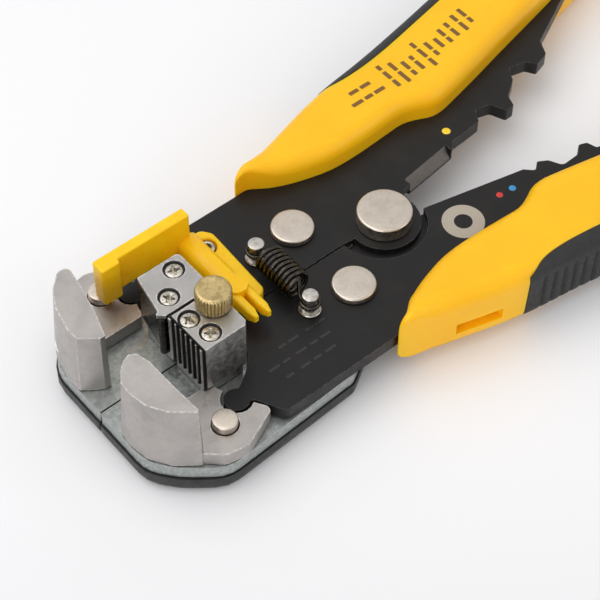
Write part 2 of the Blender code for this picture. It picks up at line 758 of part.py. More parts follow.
RIGHT_WALL_TOP = [
    (78.3, 2.9, 0.5),
    (80.4, 3.6, 0.8),
    (82.4, 5.4, 1.0),
    (84.2, 7.9, 1.5),
    (84.5, 11.2, 3.0),
    (83.7, 16.2, 3.0),
    (80.9, 20.8, 3.0),
    (75.9, 24.9, 0.7),
    (75.5, 24.3, 0.6),
    (75.9, 14.0),
    (75.9, 7.4, 1.0),
    (76.8, 3.9, 0.8),
]
RIGHT_WALL_FOOT = [
    (78.3, 2.9, 0.5),
    (81.0, 3.6, 0.8),
    (83.4, 5.2, 1.0),
    (85.4, 7.8, 1.5),
    (85.8, 11.4, 3.0),
    (85.0, 17.0, 3.0),
    (81.6, 22.2, 3.0),
    (76.3, 26.3, 0.7),
    (75.2, 25.2, 0.6),
    (75.7, 14.0),
    (75.8, 7.4, 1.0),
    (76.8, 3.9, 0.8),
]
LEFT_WALL_TOP = [
    (79.3, -4.4, 0.5),
    (80.6, -4.5, 0.5),
    (82.4, -5.9, 0.7),
    (84.7, -7.8, 0.7),
    (84.7, -11.4, 3.0),
    (83.4, -17.6, 3.0),
    (80.9, -22.4, 3.0),
    (77.2, -25.9, 0.9),
    (75.1, -26.0, 0.8),
    (74.3, -24.6, 0.8),
    (75.4, -18.6, 3.0),
    (77.2, -10.8, 3.0),
]
LEFT_WALL_FOOT = [
    (79.2, -4.4, 0.5),
    (80.9, -4.5, 0.5),
    (83.4, -6.0, 0.7),
    (85.8, -7.9, 0.7),
    (85.9, -12.0, 3.0),
    (84.6, -18.2, 3.0),
    (81.8, -23.4, 3.0),
    (77.6, -27.4, 0.9),
    (75.0, -27.2, 0.8),
    (73.9, -25.2, 0.8),
    (75.2, -18.6, 3.0),
    (77.0, -10.8, 3.0),
]

for name, side, shift, pivot, wall_foot, wall_top, frame in (
    ("right_front_jaw", 1, 0.0, RIGHT_JAW_PIVOT, RIGHT_WALL_FOOT, RIGHT_WALL_TOP, right_jaw),
    ("left_front_jaw", -1, LEFT_SHIFT, LEFT_JAW_PIVOT, LEFT_WALL_FOOT, LEFT_WALL_TOP, left_jaw),
):
    jaw = slab(name, [jaw_foot(side, shift), jaw_pin_hole(pivot)], PLATE_BOTTOM, FOOT_TOP)
    joined(jaw, drafted("wall", wall_foot, wall_top, PLATE_BOTTOM, HEAD_TOP))
    place(jaw, frame, ZINC)

# Fine teeth on the right jaw's nose, which press the wire against the grip block.
right_jaw_piece = bpy.data.objects["right_front_jaw"]
for i in range(4):
    share = (i + 0.5) / 4
    x = 78.0 + (75.7 - 78.0) * share
    y = 3.1 + (7.3 - 3.1) * share
    notch = [(x - 0.35, y - 0.8), (x + 0.5, y + 0.2), (x - 0.8, y + 0.35)]
    cut(right_jaw_piece, slab("tooth_gap", [notch], FOOT_TOP + 1.0, HEAD_TOP + 1))

for name, pivot, frame in (
    ("right_jaw_pin", RIGHT_JAW_PIVOT, right_head),
    ("left_jaw_pin", LEFT_JAW_PIVOT, left_head),
):
    profile = [
        (0.0, JAW_PIN_TOP),
        (2.7, JAW_PIN_TOP),
        (3.0, JAW_PIN_TOP - 0.3),
        (3.0, 5.9),
        (2.1, 5.9),
        (2.1, 2.2),
        (0.0, 2.2),
    ]
    place(smooth(turned(name, profile, pivot, 20)), frame, STEEL)


def jaw_spring_path(pivot, side):
    """Two turns round the pin's lower end, inside the cover, with two straight legs."""
    radius, turns, steps = 2.9, 2, 10
    path = [(pivot[0] - 12.0, pivot[1] - side * radius, 2.8)]
    for i in range(turns * steps + 1):
        angle = -math.pi / 2 + math.tau * i / steps
        z = 2.8 + 1.9 * i / (turns * steps)
        path.append((pivot[0] + radius * math.cos(angle), pivot[1] + side * radius * math.sin(angle), z))
    path.append((pivot[0] + 9.0, pivot[1] - side * radius, 4.7))
    return path


for name, pivot, side, frame in (
    ("right_jaw_spring", RIGHT_JAW_PIVOT, 1, right_head),
    ("left_jaw_spring", LEFT_JAW_PIVOT, -1, left_head),
):
    place(wire(name, jaw_spring_path(pivot, side), 0.4, 1), frame, DARK_STEEL)


# --- Thumbscrew -------------------------------------------------------------------

FLUTES = 24
knurl = []
for i in range(FLUTES):
    for share, radius in ((0.0, KNOB_R), (0.5, KNOB_R - 0.4)):
        a = math.tau * (i + share) / FLUTES
        knurl.append((KNOB[0] + radius * math.cos(a), KNOB[1] + radius * math.sin(a)))
knob = slab("adjusting_thumbscrew", [knurl], KNOB_BOTTOM, KNOB_TOP - 0.4)
joined(knob, turned("crown", [(0, KNOB_TOP), (3.4, KNOB_TOP), (3.8, 33.9), (0, 33.9)], KNOB, 24))
joined(knob, post("stem", KNOB, 1.5, 20.0, KNOB_BOTTOM + 1, 12))
place(smooth(knob), knob_axis, BRASS)


# --- Wire stop and its guide ------------------------------------------------------

guide_outline = fillet(
    [(38.6, -23.2, 2.0), (49.0, -23.2, 1.0), (49.0, -1.0, 1.0), (42.6, 1.6, 1.2), (37.9, 0.9, 2.0), (36.8, -20.6, 2.0)]
)
stop_guide = slab("stop_guide", [guide_outline], PLATE_TOP + GAP, GUIDE_TOP)
cut(stop_guide, post("rivet_hole", GUIDE_RIVET, 1.8, 13.0, GUIDE_TOP + 1, 16))
cut(stop_guide, post("rivet_seat", GUIDE_RIVET, 2.5, 15.6, GUIDE_TOP + 1, 20))
bevel(stop_guide, 0.5, 1, 50.0)
place(stop_guide, left_handle, YELLOW)

guide_rivet_profile = [
    (0.8, 17.0),
    (1.7, 17.1),
    (2.1, 16.7),
    (2.1, 15.9),
    (1.5, 15.9),
    (1.5, 10.0),
    (0.8, 10.0),
]
place(smooth(turned("guide_rivet", guide_rivet_profile, GUIDE_RIVET, 20)), left_handle, STEEL)

BAR_Y = (-23.4, -20.4)
BAR_X = (43.4, 69.4)
BAR_Z = (17.5, 28.9)
LUG_X = 64.2
LUG_Y = -19.2
LUG_Z = 16.4


def block_solid(name, x, y, z):
    outline = [(x[0], y[0]), (x[1], y[0]), (x[1], y[1]), (x[0], y[1])]
    return slab(name, [outline], z[0], z[1])


def rail_section(x_low, x_high, y, z_low, z_high):
    """A flat-bottomed section with a round top, across the rail."""
    middle, half_width = (x_low + x_high) / 2, (x_high - x_low) / 2
    rise = min(half_width, z_high - z_low) * 0.7
    ring = [(x_low, y, z_low), (x_high, y, z_low)]
    for i in range(7):
        a = math.pi * i / 6
        ring.append((middle + half_width * math.cos(a), y, z_high - rise + rise * math.sin(a)))
    return ring


wire_stop = block_solid("wire_stop", BAR_X, BAR_Y, BAR_Z)
joined(wire_stop, block_solid("lug", (LUG_X, BAR_X[1]), (BAR_Y[0], LUG_Y), (LUG_Z, BAR_Z[1])))
bevel(wire_stop, 0.7, 2, 50.0)
applied(wire_stop)
rail_low = GUIDE_TOP + GAP
joined(
    wire_stop,
    loft("rail", [rail_section(*RAIL_X, y, rail_low, RAIL_TOP) for y in (BAR_Y[1] - 1.0, -0.5)]),
)
joined(wire_stop, post("ring", (44.3, -2.2), 2.9, rail_low, RAIL_TOP + 0.4, 20))
for x_low, x_high, tip in ((44.7, 47.1, 7.6), (41.5, 43.7, 8.2)):
    stations = ((-1.2, 0.0), (tip - 2.0, 0.1), (tip, 0.7))
    prong = loft(
        "prong",
        [rail_section(x_low + n, x_high - n, y, rail_low + n, RAIL_TOP - 0.5 - n) for y, n in stations],
    )
    joined(wire_stop, prong)
place(smooth(wire_stop), stop_slide, YELLOW)


# --- Return spring ----------------------------------------------------------------


def spring_path():
    """A hook round each pin's groove and a close coil between them, along Y."""
    hook_r = 1.4 + GAP + WIRE_R
    x = SPRING_PIN[0]
    first, last = [], []
    for i in range(13):
        a = math.radians(120.0 - 300.0 * (1 - i / 12.0))
        first.append((x + hook_r * math.cos(a), -SPRING_PIN[1] + hook_r * math.sin(a), HOOK_Z))
    steps = int(COIL_TURNS * 10)
    coil = []
    for i in range(steps + 1):
        a = math.tau * COIL_TURNS * i / steps - math.pi / 2
        y = -COIL_HALF + 2 * COIL_HALF * i / steps
        coil.append((x + COIL_R * math.cos(a), y, COIL_Z + COIL_R * math.sin(a)))
    for i in range(13):
        a = math.radians(-60.0 + 300.0 * i / 12.0)
        last.append((x + hook_r * math.cos(a), SPRING_PIN[1] + hook_r * math.sin(a), HOOK_Z))
    lead_in = [(x - 0.6, -7.0, 16.2)]
    lead_out = [(x + 0.9, 7.2, 17.6)]
    return first + lead_in + coil + lead_out + last


place(wire("return_spring", spring_path(), WIRE_R, 1), right_handle, DARK_STEEL)


# --- Grips ------------------------------------------------------------------------

TIP_X = 23.0
RIGHT_TIP_X = 21.4
TIP_START = 14.0
GRIP_EDGE_R = 4.2

INNER_EDGE = [
    (TIP_X, 29.25),
    (22.0, 29.0),
    (19.6, 28.4),
    (15.1, 25.4),
    (10.7, 23.4),
    (5.4, 21.7),
    (-0.5, 20.4),
    (-8.0, 20.1),
    (-18.7, 20.6),
    (-24.5, 20.8),
    (-28.2, 19.7),
    (-31.7, 18.1),
    (-35.0, 17.8),
    (-39.0, 18.5),
    (-50.2, 21.0),
    (-61.9, 23.8),
    (-86.3, 29.5),
    (-105.0, 34.0),
    (-116.0, 38.6),
    (TAIL_X, 45.0),
]
OUTER_EDGE = [
    (TIP_X, 29.55),
    (22.4, 29.95),
    (21.4, 30.35),
    (19.6, 30.95),
    (10.7, 33.1),
    (-4.4, 37.3),
    (-14.2, 39.4),
    (-27.4, 41.3),
    (-44.2, 44.3),
    (-58.0, 46.9),
    (-86.0, 52.0),
    (-105.0, 55.2),
    (-116.0, 55.4),
    (TAIL_X, 50.0),
]
TIP_ROUND = 4.6
PAD_FRONT = -11.4
PAD_REAR = -110.0
PAD_DEPTHS = [
    (PAD_FRONT, 0.4),
    (-13.6, 1.1),
    (-15.7, 2.1),
    (-18.8, 2.9),
    (-22.7, 3.15),
    (-26.4, 2.95),
    (-33.0, 2.5),
    (-44.0, 2.4),
    (-58.0, 2.4),
    (-72.0, 2.4),
    (-86.0, 2.4),
    (-95.0, 2.4),
    (-102.0, 2.2),
    (-106.0, 1.7),
    (PAD_REAR, 0.4),
]
RIB_PITCH = 3.0
WINDOW_Z = (7.6, 11.2)


def edge_at(edge, x):
    """The edge's y at x, on a smooth curve through its points."""
    for i in range(len(edge) - 1):
        if edge[i][0] >= x >= edge[i + 1][0]:
            break
    p1, p2 = edge[i], edge[i + 1]
    p0 = edge[i - 1] if i > 0 else p1
    p3 = edge[i + 2] if i + 2 < len(edge) else p2
    t = (x - p1[0]) / (p2[0] - p1[0])
    slope1 = (p2[1] - p0[1]) / (p2[0] - p0[0]) * (p2[0] - p1[0])
    slope2 = (p3[1] - p1[1]) / (p3[0] - p1[0]) * (p2[0] - p1[0])
    h = (2 * t**3 - 3 * t**2 + 1, t**3 - 2 * t**2 + t, -2 * t**3 + 3 * t**2, t**3 - t**2)
    return h[0] * p1[1] + h[1] * slope1 + h[2] * p2[1] + h[3] * slope2


def grip_levels(x):
    """Lowest and highest z of the grip at x: it swells down to the floor under the palm."""
    swell = min(1.0, max(0.0, (-30.0 - x) / 45.0))
    swell = swell * swell * (3 - 2 * swell)
    tail = 5.5 * max(0.0, (-113.0 - x) / 8.7) ** 3
    into_tip = min(1.0, max(0.0, 1.0 - (TIP_X - x) / TIP_ROUND))
    tip = TIP_ROUND * (1.0 - math.sqrt(1.0 - into_tip**2))
    return 2.4 - 2.4 * swell + tip + tail, GRIP_TOP + 0.8 * swell - tip - tail


def tip_x(x, side):
    """The right grip's tip is shorter than the left one's."""
    if side < 0 or x < TIP_START:
        return x
    return TIP_START + (x - TIP_START) * (RIGHT_TIP_X - TIP_START) / (TIP_X - TIP_START)


def rounded_section(x, y_in, y_out, low, high, radius):
    """A rounded rectangle across the grip at x."""
    radius = min(radius, (y_out - y_in) * 0.49, (high - low) * 0.49)
    ring = []
    centers = ((y_out, low, -90), (y_out, high, 0), (y_in, high, 90), (y_in, low, 180))
    for y, z, start in centers:
        cy = y - radius if y == y_out else y + radius
        cz = z + radius if z == low else z - radius
        ring += [(x, *point) for point in arc((cy, cz), radius, start, start + 90, 22.5)]
    return ring


def grip_rings(side):
    stations = [TIP_X, 22.8, 22.3, 21.5, 20.2, 18.4, 16.2, 13.6, 10.7, 6.0, 0.0, -6.0, -12.0, -18.0, -23.0, -27.0, -30.0]
    stations += [-33.0, -37.0, -43.0, -50.0, -60.0, -70.0, -80.0, -90.0, -100.0, -108.0, -113.0, -117.0]
    stations += [-119.8, TAIL_X]
    rings = []
    for x in stations:
        low, high = grip_levels(x)
        y_in, y_out = edge_at(INNER_EDGE, x), edge_at(OUTER_EDGE, x)
        ring = rounded_section(tip_x(x, side), y_in, y_out, low, high, GRIP_EDGE_R)
        rings.append([(px, side * py, pz) for px, py, pz in ring])
    return rings


def pad_zone(side, grow):
    """The outer strip of the grip that the rubber pad fills, seen in plan."""
    rim = [(x, edge_at(OUTER_EDGE, x) - depth) for x, depth in PAD_DEPTHS]
    first, last = rim[0], rim[-1]
    zone = [(first[0] + grow, 75.0), (first[0] + grow, first[1] - grow)]
    zone += [(x, y - grow) for x, y in rim[1:-1]]
    zone += [(last[0] - grow, last[1] - grow), (last[0] - grow, 75.0)]
    return zone if side > 0 else mirrored(zone)


def rib_gaps(side):
    """Upright grooves along the pad's outer face."""
    build = bmesh.new()
    x = PAD_FRONT - 5.0
    while x > PAD_REAR + 5.0:
        y = edge_at(OUTER_EDGE, x)
        corners = [(x - 0.55, y + 2), (x + 0.55, y + 2), (x + 0.3, y - 0.55), (x - 0.3, y - 0.55)]
        low = [build.verts.new((cx * MM, side * cy * MM, 3.0 * MM)) for cx, cy in corners]
        high = [build.verts.new((cx * MM, side * cy * MM, 19.0 * MM)) for cx, cy in corners]
        for i in range(4):
            build.faces.new((low[i], low[(i + 1) % 4], high[(i + 1) % 4], high[i]))
        build.faces.new(low[::-1])
        build.faces.new(high)
        x -= RIB_PITCH
    bmesh.ops.recalc_face_normals(build, faces=build.faces)
    mesh = bpy.data.meshes.new("rib_gaps")
    build.to_mesh(mesh)
    build.free()
    return mesh_object("rib_gaps", mesh)


def grip_pair(side, name, frame):
    grip = loft(name + "_grip", grip_rings(side))
    pad = loft(name + "_grip_pad", grip_rings(side))
    boolean(pad, slab("pad_zone", [pad_zone(side, 0.0)], -5.0, 30.0), "INTERSECT")
    applied(pad)
    bpy.data.objects.remove(bpy.data.objects["pad_zone"], do_unlink=True)
    cut(pad, rib_gaps(side))
    cut(grip, slab("pad_seat", [pad_zone(side, GAP)], -5.0, 30.0))
    cut(grip, slot_for(side))
    window = [(7.1, 45.0), (7.1, 31.8), (-4.9, 35.0), (-4.9, 45.0)]
    cut(grip, slab("window", [window if side > 0 else mirrored(window)], *WINDOW_Z))
    place(smooth(grip, 30.0), frame, YELLOW)
    place(smooth(pad, 30.0), frame, RUBBER)


def slot_for(side):
    """A slot for the plate, with the gap round it, as a cutter for the grip."""
    tail = [(-91.0, 28.0), (-111.6, 37.9, 3), (-113.6, 47.6, 4), (-60.0, 40.2), (-30.0, 34.8)]
    corners = [(30.0, 5.0), (30.0, 28.9), (8.0, 28.9, 30.0)] + tail[::-1] + [(-70.0, 5.0)]
    return slab("plate_slot", [fillet(half(corners, side))], PLATE_BOTTOM - GAP, PLATE_TOP + GAP)


grip_pair(1, "right", right_handle)
grip_pair(-1, "left", left_handle)
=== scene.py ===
"""The wire stripper's scene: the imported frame, finer pieces, materials, light and camera."""

import math

import bmesh
import bpy
from mathutils import Matrix, Vector


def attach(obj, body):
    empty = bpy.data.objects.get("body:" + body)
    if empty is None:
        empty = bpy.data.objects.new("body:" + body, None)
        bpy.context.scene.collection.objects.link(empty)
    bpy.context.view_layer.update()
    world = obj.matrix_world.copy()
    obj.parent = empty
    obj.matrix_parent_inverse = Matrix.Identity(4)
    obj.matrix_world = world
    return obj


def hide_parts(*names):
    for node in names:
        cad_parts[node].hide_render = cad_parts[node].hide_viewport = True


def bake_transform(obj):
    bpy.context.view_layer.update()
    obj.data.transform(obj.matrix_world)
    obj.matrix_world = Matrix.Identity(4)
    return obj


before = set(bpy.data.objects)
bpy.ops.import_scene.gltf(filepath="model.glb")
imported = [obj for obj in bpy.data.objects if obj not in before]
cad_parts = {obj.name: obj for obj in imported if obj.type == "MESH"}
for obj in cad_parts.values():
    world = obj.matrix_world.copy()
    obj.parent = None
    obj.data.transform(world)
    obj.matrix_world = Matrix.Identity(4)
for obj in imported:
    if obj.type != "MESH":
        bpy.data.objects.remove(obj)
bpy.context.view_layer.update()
scene = bpy.context.scene

MM = 0.001
PIVOT_X = 17.7  # the main rivet's axis in the row frame, in millimetres

# Millimetres from here on. A point of the plan view (x, y) is measured from the main rivet.
PLATE_TOP = 13.5
GRIP_TOP = 21.0
HEAD_PIVOT = (19.6, 11.4)
SPRING_PIN = (32.0, 10.0)
KNOB = (55.3, 3.9)
RIGHT_JAW_PIVOT = (67.4, 22.7)
LEFT_JAW_PIVOT = (67.4, -24.4)
BLOCK_SCREWS = {
    "grip_block_screw": ((62.1, 3.6), (60.7, 9.6)),
    "blade_block_screw": ((56.1, -9.8), (61.8, -4.2)),
}

WELD_DISTANCE = 0.002
FLAT_ANGLE = 0.4  # degrees between faces that count as one flat face
MIX_FACTOR, MIX_FIRST, MIX_SECOND, MIX_RESULT = 0, 6, 7, 2  # a Mix node's colour sockets


# --- Materials --------------------------------------------------------------------


class Shader:
    """A Principled material built up from object-space noise, with sizes in millimetres."""

    def __init__(self, name, color, metallic=0.0, roughness=0.5, **fixed):
        self.material = bpy.data.materials.new(name)
        self.material.use_nodes = True
        self.tree = self.material.node_tree
        self.principled = self.tree.nodes["Principled BSDF"]
        self.set("Base Color", (*color, 1.0))
        self.set("Metallic", metallic)
        self.set("Roughness", roughness)
        for socket, value in fixed.items():
            self.set(socket.replace("_", " "), value)
        coordinates = self.tree.nodes.new("ShaderNodeTexCoord")
        self.millimetres = self.tree.nodes.new("ShaderNodeMapping")
        self.millimetres.inputs["Scale"].default_value = (1000.0, 1000.0, 1000.0)
        self.link(coordinates.outputs["Object"], self.millimetres.inputs["Vector"])
        self.color = None
        self.normal = None

    def set(self, socket, value):
        self.principled.inputs[socket].default_value = value

    def link(self, output, target):
        self.tree.links.new(output, target)

    def noise(self, size, detail=3.0, stretch=(1.0, 1.0, 1.0), roughness=0.55):
        """A noise value whose features are about size millimetres across."""
        vector = self.millimetres.outputs["Vector"]
        if stretch != (1.0, 1.0, 1.0):
            mapping = self.tree.nodes.new("ShaderNodeMapping")
            mapping.inputs["Scale"].default_value = stretch
            self.link(vector, mapping.inputs["Vector"])
            vector = mapping.outputs["Vector"]
        node = self.tree.nodes.new("ShaderNodeTexNoise")
        node.inputs["Scale"].default_value = 1.0 / size
        node.inputs["Detail"].default_value = detail
        node.inputs["Roughness"].default_value = roughness
        self.link(vector, node.inputs["Vector"])
        return node.outputs["Fac"]

    def ranged(self, value, low, high, to_low=0.0, to_high=1.0):
        """The value taken smoothly from one range to another."""
        node = self.tree.nodes.new("ShaderNodeMapRange")
        node.interpolation_type = "SMOOTHSTEP"
        numbers = {"From Min": low, "From Max": high, "To Min": to_low, "To Max": to_high}
        for socket, number in numbers.items():
            node.inputs[socket].default_value = number
        self.link(value, node.inputs["Value"])
        return node.outputs["Result"]

    def times(self, first, second):
        node = self.tree.nodes.new("ShaderNodeMath")
        node.operation = "MULTIPLY"
        self.link(first, node.inputs[0])
        self.link(second, node.inputs[1])
        return node.outputs["Value"]

    def tint(self, mask, color):
        """Mixes a second colour in where the mask is 1."""
        mix = self.tree.nodes.new("ShaderNodeMix")
        mix.data_type = "RGBA"
        if self.color is None:
            plain = self.principled.inputs["Base Color"].default_value[:]
            mix.inputs[MIX_FIRST].default_value = plain
        else:
            self.link(self.color, mix.inputs[MIX_FIRST])
        mix.inputs[MIX_SECOND].default_value = (*color, 1.0)
        self.link(mask, mix.inputs[MIX_FACTOR])
        self.color = mix.outputs[MIX_RESULT]
        self.link(self.color, self.principled.inputs["Base Color"])
        return self

    def rough(self, value):
        self.link(value, self.principled.inputs["Roughness"])
        return self

    def bump(self, height, depth):
        """Raises the surface by depth millimetres times the height."""
        node = self.tree.nodes.new("ShaderNodeBump")
        node.inputs["Strength"].default_value = 1.0
        node.inputs["Distance"].default_value = depth * MM
        self.link(height, node.inputs["Height"])
        if self.normal is not None:
            self.link(self.normal, node.inputs["Normal"])
        self.normal = node.outputs["Normal"]
        self.link(self.normal, self.principled.inputs["Normal"])
        return self

    def worn_and_highlit_edges(self, radius, color, low=0.02, high=0.2):
        """Lightens the edges, partly as wear and partly as a painted highlight, found where a
        rounded normal leaves the true one.
        """
        bevel = self.tree.nodes.new("ShaderNodeBevel")
        bevel.samples = 4
        bevel.inputs["Radius"].default_value = radius * MM
        geometry = self.tree.nodes.new("ShaderNodeNewGeometry")
        dot = self.tree.nodes.new("ShaderNodeVectorMath")
        dot.operation = "DOT_PRODUCT"
        self.link(bevel.outputs["Normal"], dot.inputs[0])
        self.link(geometry.outputs["Normal"], dot.inputs[1])
        near = self.ranged(dot.outputs["Value"], 1.0 - low, 1.0 - high)
        broken = self.ranged(self.noise(0.9, 4.0), 0.38, 0.62)
        return self.tint(self.times(near, broken), color)


def cast_zinc(name, color, second, grain=0.006, groove_shade_span=None):
    shader = Shader(name, color, 1.0, 0.42)
    shader.tint(shader.ranged(shader.noise(7.0, 4.0), 0.35, 0.7), second)
    shader.tint(shader.ranged(shader.noise(0.35, 3.0), 0.55, 0.75, 0.0, 0.35), (0.25, 0.24, 0.235))
    # Light edges: partly wear, partly a painted highlight.
    shader.worn_and_highlit_edges(0.6, (0.86, 0.83, 0.80), 0.01, 0.08)
    shader.rough(shader.ranged(shader.noise(1.6, 4.0), 0.3, 0.7, 0.36, 0.52))
    shader.bump(shader.noise(0.3, 4.0), grain)
    # Painted shade in the bottoms of the grooves, where a span is given.
    if groove_shade_span:
        painted_groove_shade(shader, *groove_shade_span, (0.02, 0.019, 0.018))
    return shader.material


def painted_groove_shade(shader, x_from, x_to, color):
    """Painted shade: darkens the metal by its place along the tool, in the bottoms of upright
    grooves.
    """
    fade_in, fade_out = 0.1, 0.16
    start, end = x_from + PIVOT_X, x_to + PIVOT_X
    split = shader.tree.nodes.new("ShaderNodeSeparateXYZ")
    shader.link(shader.millimetres.outputs["Vector"], split.inputs["Vector"])
    before_end = shader.ranged(split.outputs["X"], end, end + fade_out, 1.0, 0.0)
    after_start = shader.ranged(split.outputs["X"], start, start + fade_in)
    return shader.tint(shader.times(before_end, after_start), color)


def make_materials():
    looks = {}
    looks["cast"] = cast_zinc("cast_zinc_jaws", (0.47, 0.44, 0.415), (0.40, 0.375, 0.36), 0.012)
    block_colors = (0.46, 0.445, 0.43), (0.38, 0.37, 0.36)
    looks["block"] = cast_zinc("cast_zinc_blocks", *block_colors, 0.004)
    # The toothed face gets painted shade in the bottoms of its grooves.
    looks["toothed"] = cast_zinc("cast_zinc_toothed", *block_colors, 0.004, (64.6, 65.3))

    base = Shader("cast_zinc_base", (0.35, 0.375, 0.365), 0.85, 0.45)
    base.tint(base.ranged(base.noise(0.9, 5.0), 0.40, 0.66), (0.46, 0.485, 0.475))
    base.tint(base.ranged(base.noise(0.5, 4.0), 0.56, 0.7, 0.0, 0.6), (0.17, 0.185, 0.18))
    base.rough(base.ranged(base.noise(1.0, 4.0), 0.3, 0.7, 0.3, 0.55))
    base.bump(base.noise(0.8, 4.0), 0.03)
    looks["base"] = base.material

    plate = Shader("black_steel_plate", (0.0075, 0.0070, 0.0071), 0.0, 0.4, Specular_IOR_Level=0.3)
    plate.tint(plate.ranged(plate.noise(9.0, 4.0), 0.4, 0.7, 0.0, 0.7), (0.014, 0.0115, 0.0105))
    # Light edges: partly wear, partly a painted edge highlight.
    plate.worn_and_highlit_edges(0.35, (0.10, 0.092, 0.088))
    plate.rough(plate.ranged(plate.noise(2.5, 5.0), 0.3, 0.7, 0.33, 0.47))
    plate.bump(plate.noise(0.22, 2.0), 0.004)
    looks["plate"] = plate.material

    yellow = Shader("yellow_plastic", (0.97, 0.50, 0.004), 0.0, 0.36, Specular_IOR_Level=0.35)
    yellow.set("Subsurface Weight", 0.45)
    yellow.set("Subsurface Radius", (1.0, 0.32, 0.05))
    yellow.set("Subsurface Scale", 0.004)
    yellow.tint(yellow.ranged(yellow.noise(16.0, 3.0), 0.35, 0.7, 0.0, 0.6), (0.98, 0.55, 0.006))
    yellow.rough(yellow.ranged(yellow.noise(1.3, 4.0), 0.3, 0.7, 0.33, 0.42))
    yellow.bump(yellow.noise(0.5, 3.0), 0.004)
    looks["yellow"] = yellow.material

    stop = Shader("yellow_stop_plastic", (0.98, 0.55, 0.003), 0.0, 0.32, Specular_IOR_Level=0.35)
    stop.set("Subsurface Weight", 0.5)
    stop.set("Subsurface Radius", (1.0, 0.35, 0.05))
    stop.set("Subsurface Scale", 0.003)
    stop.tint(stop.ranged(stop.noise(6.0, 3.0), 0.35, 0.7, 0.0, 0.7), (1.0, 0.62, 0.006))
    stop.rough(stop.ranged(stop.noise(1.0, 4.0), 0.3, 0.7, 0.26, 0.38))
    stop.bump(stop.noise(0.7, 3.0), 0.006)
    looks["stop"] = stop.material

    rubber = Shader("black_rubber", (0.019, 0.018, 0.018), 0.0, 0.55, Specular_IOR_Level=0.45)
    rubber.tint(rubber.ranged(rubber.noise(3.0, 4.0), 0.4, 0.7), (0.024, 0.023, 0.0225))
    rubber.rough(rubber.ranged(rubber.noise(1.0, 4.0), 0.3, 0.7, 0.5, 0.68))
    rubber.bump(rubber.noise(0.18, 2.0), 0.012)
    looks["rubber"] = rubber.material

    cover = Shader("black_plastic", (0.010, 0.010, 0.0105), 0.0, 0.45, Specular_IOR_Level=0.4)
    cover.tint(cover.ranged(cover.noise(4.0, 4.0), 0.4, 0.7), (0.018, 0.018, 0.019))
    cover.rough(cover.ranged(cover.noise(1.5, 4.0), 0.3, 0.7, 0.38, 0.52))
    cover.bump(cover.noise(0.25, 2.0), 0.008)
    looks["cover"] = cover.material

    steel = Shader("bright_steel", (0.66, 0.59, 0.51), 1.0, 0.3)
    steel.tint(steel.ranged(steel.noise(3.2, 4.0), 0.42, 0.68), (0.60, 0.53, 0.455))
    steel.rough(steel.ranged(steel.noise(0.9, 5.0), 0.3, 0.7, 0.26, 0.42))
    steel.bump(steel.noise(0.5, 4.0), 0.004)
    looks["steel"] = steel.material

    pin = Shader("pin_steel", (0.62, 0.59, 0.545), 1.0, 0.3)
    pin.tint(pin.ranged(pin.noise(1.2, 4.0), 0.42, 0.68), (0.42, 0.40, 0.37))
    pin.rough(pin.ranged(pin.noise(0.7, 4.0), 0.3, 0.7, 0.24, 0.42))
    pin.bump(pin.noise(0.3, 3.0), 0.004)
    looks["pin"] = pin.material

    screw = Shader("screw_steel", (0.66, 0.625, 0.56), 1.0, 0.3)
    screw.tint(screw.ranged(screw.noise(0.6, 4.0), 0.45, 0.62), (0.35, 0.32, 0.27))
    screw.rough(screw.ranged(screw.noise(0.5, 4.0), 0.3, 0.7, 0.22, 0.45))
    screw.bump(screw.noise(0.25, 4.0), 0.02)
    looks["screw"] = screw.material

    brass = Shader("brass", (0.60, 0.46, 0.22), 1.0, 0.34)
    brass.tint(brass.ranged(brass.noise(1.3, 5.0), 0.46, 0.62), (0.44, 0.33, 0.15))
    brass.tint(brass.ranged(brass.noise(0.4, 3.0), 0.6, 0.74, 0.0, 0.7), (0.16, 0.11, 0.045))
    brass.rough(brass.ranged(brass.noise(0.8, 4.0), 0.3, 0.7, 0.26, 0.48))
    brass.bump(brass.noise(0.35, 4.0), 0.02)
    looks["brass"] = brass.material

    dark = Shader("dark_steel", (0.055, 0.051, 0.047), 1.0, 0.24)
    dark.tint(dark.ranged(dark.noise(1.1, 4.0), 0.45, 0.65), (0.10, 0.085, 0.068))
    dark.rough(dark.ranged(dark.noise(0.8, 4.0), 0.3, 0.7, 0.16, 0.32))
    dark.bump(dark.noise(0.4, 3.0), 0.005)
    looks["dark"] = dark.material
    return looks


LOOK = make_materials()


def ink(name, color, roughness=0.5):
    """A printed or stamped mark, slightly uneven."""
    worn = tuple(channel * 0.7 for channel in color)
    smoother, rougher = roughness - 0.08, roughness + 0.08
    shader = Shader(name, color, 0.0, roughness)
    shader.tint(shader.ranged(shader.noise(0.5, 4.0), 0.5, 0.75, 0.0, 0.5), worn)
    shader.rough(shader.ranged(shader.noise(0.6, 3.0), 0.3, 0.7, smoother, rougher))
    return shader.material


# --- Outlines and meshes ----------------------------------------------------------


def at(x, y, z):
    """A point of the plan view's millimetres, measured from the main rivet, in the row frame."""
    return ((x + PIVOT_X) * MM, y * MM, z * MM)


def arc(center, radius, start, end, step):
    count = max(2, math.ceil(abs(end - start) / step - 0.001))
    angles = [math.radians(start + (end - start) * i / count) for i in range(count + 1)]
    return [(center[0] + radius * math.cos(a), center[1] + radius * math.sin(a)) for a in angles]


def ring_of(center, radius, count, z):
    angles = [math.tau * i / count for i in range(count)]
    return [(center[0] + radius * math.cos(a), center[1] + radius * math.sin(a), z) for a in angles]


def shaded(obj, angle=35.0):
    obj.data.shade_smooth()
    obj.data.set_sharp_from_angle(angle=math.radians(angle))
    return obj


